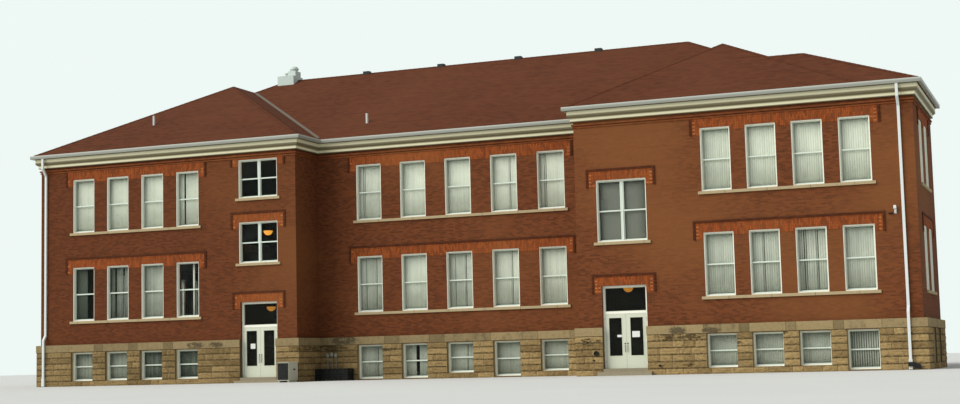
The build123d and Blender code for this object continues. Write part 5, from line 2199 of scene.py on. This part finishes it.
@dataclass
class Services:
    """The cooling unit, the low louvred box, conduits, vents and the lamp on the front.

    Attributes:
        cooler_low: Lowest corner of the cooling unit.
        cooler_high: Its highest corner.
        bars: Number of bars of its grille.
        handle: Depth and level of its handle's lowest and highest corner.
        box_low: Lowest corner of the louvred box.
        box_high: Its highest corner.
        posts: Number of posts along it.
        slat: Height of a slat.
        slat_rows: Number of rows of slats.
        slat_pitch: Distance from one row to the next.
        boards: Number of boards that cover it.
        conduits: Places of the conduits along the centre wall.
        conduit_foot: Level of their lower ends.
        conduit_tops: Levels of their upper ends, by turns.
        stone: How far the faces of the stones swell before the wall.
        vents: Middle, radius and length of each vent and pipe end.
        lamp: Middle of the lamp's head along the wall, and its level.
        shoe_low: Lowest corner of the downspout's shoe.
        shoe_high: Highest corner of its upper end.
    """

    cooler_low: Point = (-6.75, -9.2, 0.07)
    cooler_high: Point = (-6.2, -8.38, 0.84)
    bars: int = 16
    handle: tuple[Pair, Pair] = ((-8.78, 0.5), (-8.62, 0.56))
    box_low: Point = (-6.15, -6.92, 0.0)
    box_high: Point = (-4.6, -6.345, 0.5)
    posts: int = 5
    slat: float = 0.05
    slat_rows: int = 6
    slat_pitch: float = 0.078
    boards: int = 7
    conduits: tuple[float, ...] = (-5.83, -5.63, -5.44)
    conduit_foot: float = 0.5
    conduit_tops: Pair = (1.0, 1.05)
    stone: float = 0.035
    vents: tuple[tuple[float, float, float, float], ...] = (
        (7.192, 0.863, 0.095, 0.06),
        (7.091, 0.598, 0.028, 0.03),
        (9.688, 0.343, 0.04, 0.05),
    )
    lamp: Pair = (18.585, 5.78)
    shoe_low: Point = (18.795, -9.478, 0.12)
    shoe_high: Point = (18.945, -9.33, 0.28)

    def build(self) -> None:
        """Set up every fitting."""
        self.cooler()
        self.louvred_box()
        self.wiring()
        self.pipe_ends()
        self.wall_lamp()
        self.shoe()

    def cooler(self) -> None:
        """Stand the cooling unit on its feet beside the left entrance."""
        low, high = Vector(self.cooler_low), Vector(self.cooler_high)
        case, dark = Batch("cooler_case"), Batch("cooler_grille")
        insets = ((Way.FRONT, 0.03, -0.035), (Way.RIGHT, 0.035, -0.006), (Way.UP, 0.04, 0.008))
        case.put(carved(low, high, *insets, chamfer=0.006))
        for side in (low.x + 0.06, high.x - 0.06):
            foot = Bench.block((side - 0.03, low.y + 0.06, 0.0), (side + 0.03, high.y - 0.06, low.z + 0.004))
            foot.facing(Way.DOWN).scale((1.3, 1, 1), (side, 0, 0))
            case.put(foot.bevel(0.004).template())
        start, end = self.handle
        dark.put(carved((high.x - 0.012, *start), (high.x + 0.006, *end), (Way.RIGHT, 0.012, -0.006)))
        step = (high.z - low.z - 0.08) / self.bars
        bar = Bench.block((low.x + 0.03, low.y + 0.006, -0.012), (high.x - 0.03, low.y + 0.03, 0.012))
        bar.points(lambda place: place.y > low.y + 0.02).move((0, 0, 0.016))
        shape = bar.bevel(0.002).template()
        for number in range(self.bars):
            dark.put(shape, Matrix.Translation((0, 0, low.z + 0.05 + step * number)))
        case.piece(Finish.CABINET, slot="white_metal")
        dark.piece(Finish.IRON)

    def louvred_box(self) -> None:
        """Build the low dark box of slats against the centre wall."""
        low, high = Vector(self.box_low), Vector(self.box_high)
        batch = Batch("louvred_box")
        shape = carved((-0.03, -0.03, 0), (0.03, 0.03, high.z), chamfer=0.005)
        for number in range(self.posts):
            x = low.x + 0.03 + (high.x - low.x - 0.06) * number / (self.posts - 1)
            for y in (low.y + 0.03, high.y - 0.03):
                batch.put(shape, Matrix.Translation((x, y, 0)))
        for number in range(self.slat_rows):
            level = 0.04 + number * self.slat_pitch
            for back in (low.y + 0.012, high.y - 0.06):
                slat = Bench.block((low.x, back, level), (high.x, back + 0.02, level + self.slat))
                slat.points(lambda place: place.z > level + 0.02).move((0, 0.018, 0))
                batch.put(slat.bevel(0.003).template())
            for side in (low.x + 0.012, high.x - 0.036):
                end = (side + 0.02, high.y, level + self.slat)
                batch.put(carved((side, low.y, level), end, chamfer=0.003))
        for number in range(self.boards):
            y = low.y + (high.y - low.y - 0.07) * number / (self.boards - 1)
            batch.put(carved((low.x, y, high.z - 0.025), (high.x, y + 0.07, high.z), chamfer=0.004))
        batch.piece(Finish.IRON)

    def wiring(self) -> None:
        """Run the conduits up the centre wall to their small boxes."""
        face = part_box("centre_basement")[0][1]
        batch = Batch("conduits")
        foot = self.conduit_foot
        for number, x in enumerate(self.conduits):
            top = self.conduit_tops[number % 2]
            pipe = Bench.rod((x, face - 0.045, (foot + top) / 2), 0.014, top - foot, count=10)
            pipe.facing(Way.UP, Way.DOWN).inset(-0.004).extrude((0, 0, 0.004))
            batch.put(pipe.template())
            low, high = (x - 0.055, face - 0.09, top), (x + 0.055, face - 0.018, top + 0.15)
            batch.put(carved(low, high, (Way.FRONT, 0.008, 0.004), chamfer=0.003))
        batch.piece(Finish.GUTTER)

    def pipe_ends(self) -> None:
        """Set the round vents and pipe ends in the stone beside the right entrance."""
        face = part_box("right_corner_basement")[0][1]
        batch = Batch("wall_vents")
        for x, z, radius, length in self.vents:
            reach = length + self.stone
            end = Bench.rod((x, face - reach / 2, z), radius, reach, TO_FRONT, 20)
            end.facing(Way.FRONT).inset(radius * 0.18)
            end.extrude((0, length * 0.7, 0))
            batch.put(end.bevel(0.002).template())
        batch.piece(Finish.IRON)

    def wall_lamp(self) -> None:
        """Fix the small lamp and its bracket beside the right downspout."""
        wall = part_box("right_wing_wall")[0][1]
        x, z = self.lamp
        batch, dark = Batch("wall_lamp"), Batch("wall_lamp_bracket")
        low, high = (x - 0.05, wall - 0.17, z), (x + 0.05, wall - 0.07, z + 0.12)
        insets = ((Way.UP, 0.02, 0.015), (Way.DOWN, 0.02, -0.03))
        batch.put(carved(low, high, *insets, chamfer=0.01, segments=2))
        base = Bench.block((x - 0.035, wall - 0.03, z - 0.16), (x + 0.045, wall, z))
        base.facing(Way.FRONT).inset(0.02).extrude((0, -0.06, 0.03))
        batch.put(base.bevel(0.004).template())
        arm = Bench.block((x - 0.255, wall - 0.05, z - 0.16), (x - 0.085, wall, z - 0.12))
        arm.facing(Way.FRONT).inset(0.008).extrude((0, -0.03, 0))
        dark.put(arm.bevel(0.003).template())
        batch.piece(Finish.SPOUT)
        dark.piece(Finish.IRON)

    def shoe(self) -> None:
        """Turn the foot of the right downspout outwards with a dark shoe."""
        batch = Batch("downspout_shoe")
        foot = Bench.block(self.shoe_low, self.shoe_high)
        foot.facing(Way.RIGHT).inset(0.004).extrude((0.16, 0, -0.06))
        foot.facing(Way.RIGHT).extrude((0.12, 0, -0.03)).inset(0.012, -0.03)
        batch.put(foot.bevel(0.006).template())
        batch.piece(Finish.IRON)


def main() -> None:
    """Build the looks of the school and report each piece."""
    logging.basicConfig(level=logging.INFO, format="%(message)s")
    Studio().build()
    Dressing().dress()
    plan = Plan()
    windows = openings()
    LOG.info("%d windows in %d runs of wall", len(windows), len(plan.runs))
    Masonry(plan.runs, windows).build()
    Windows(windows).build()
    RoofTrim().build()
    Entrances().build()
    Lamps().build()
    Services().build()


if __name__ == "__main__":
    main()
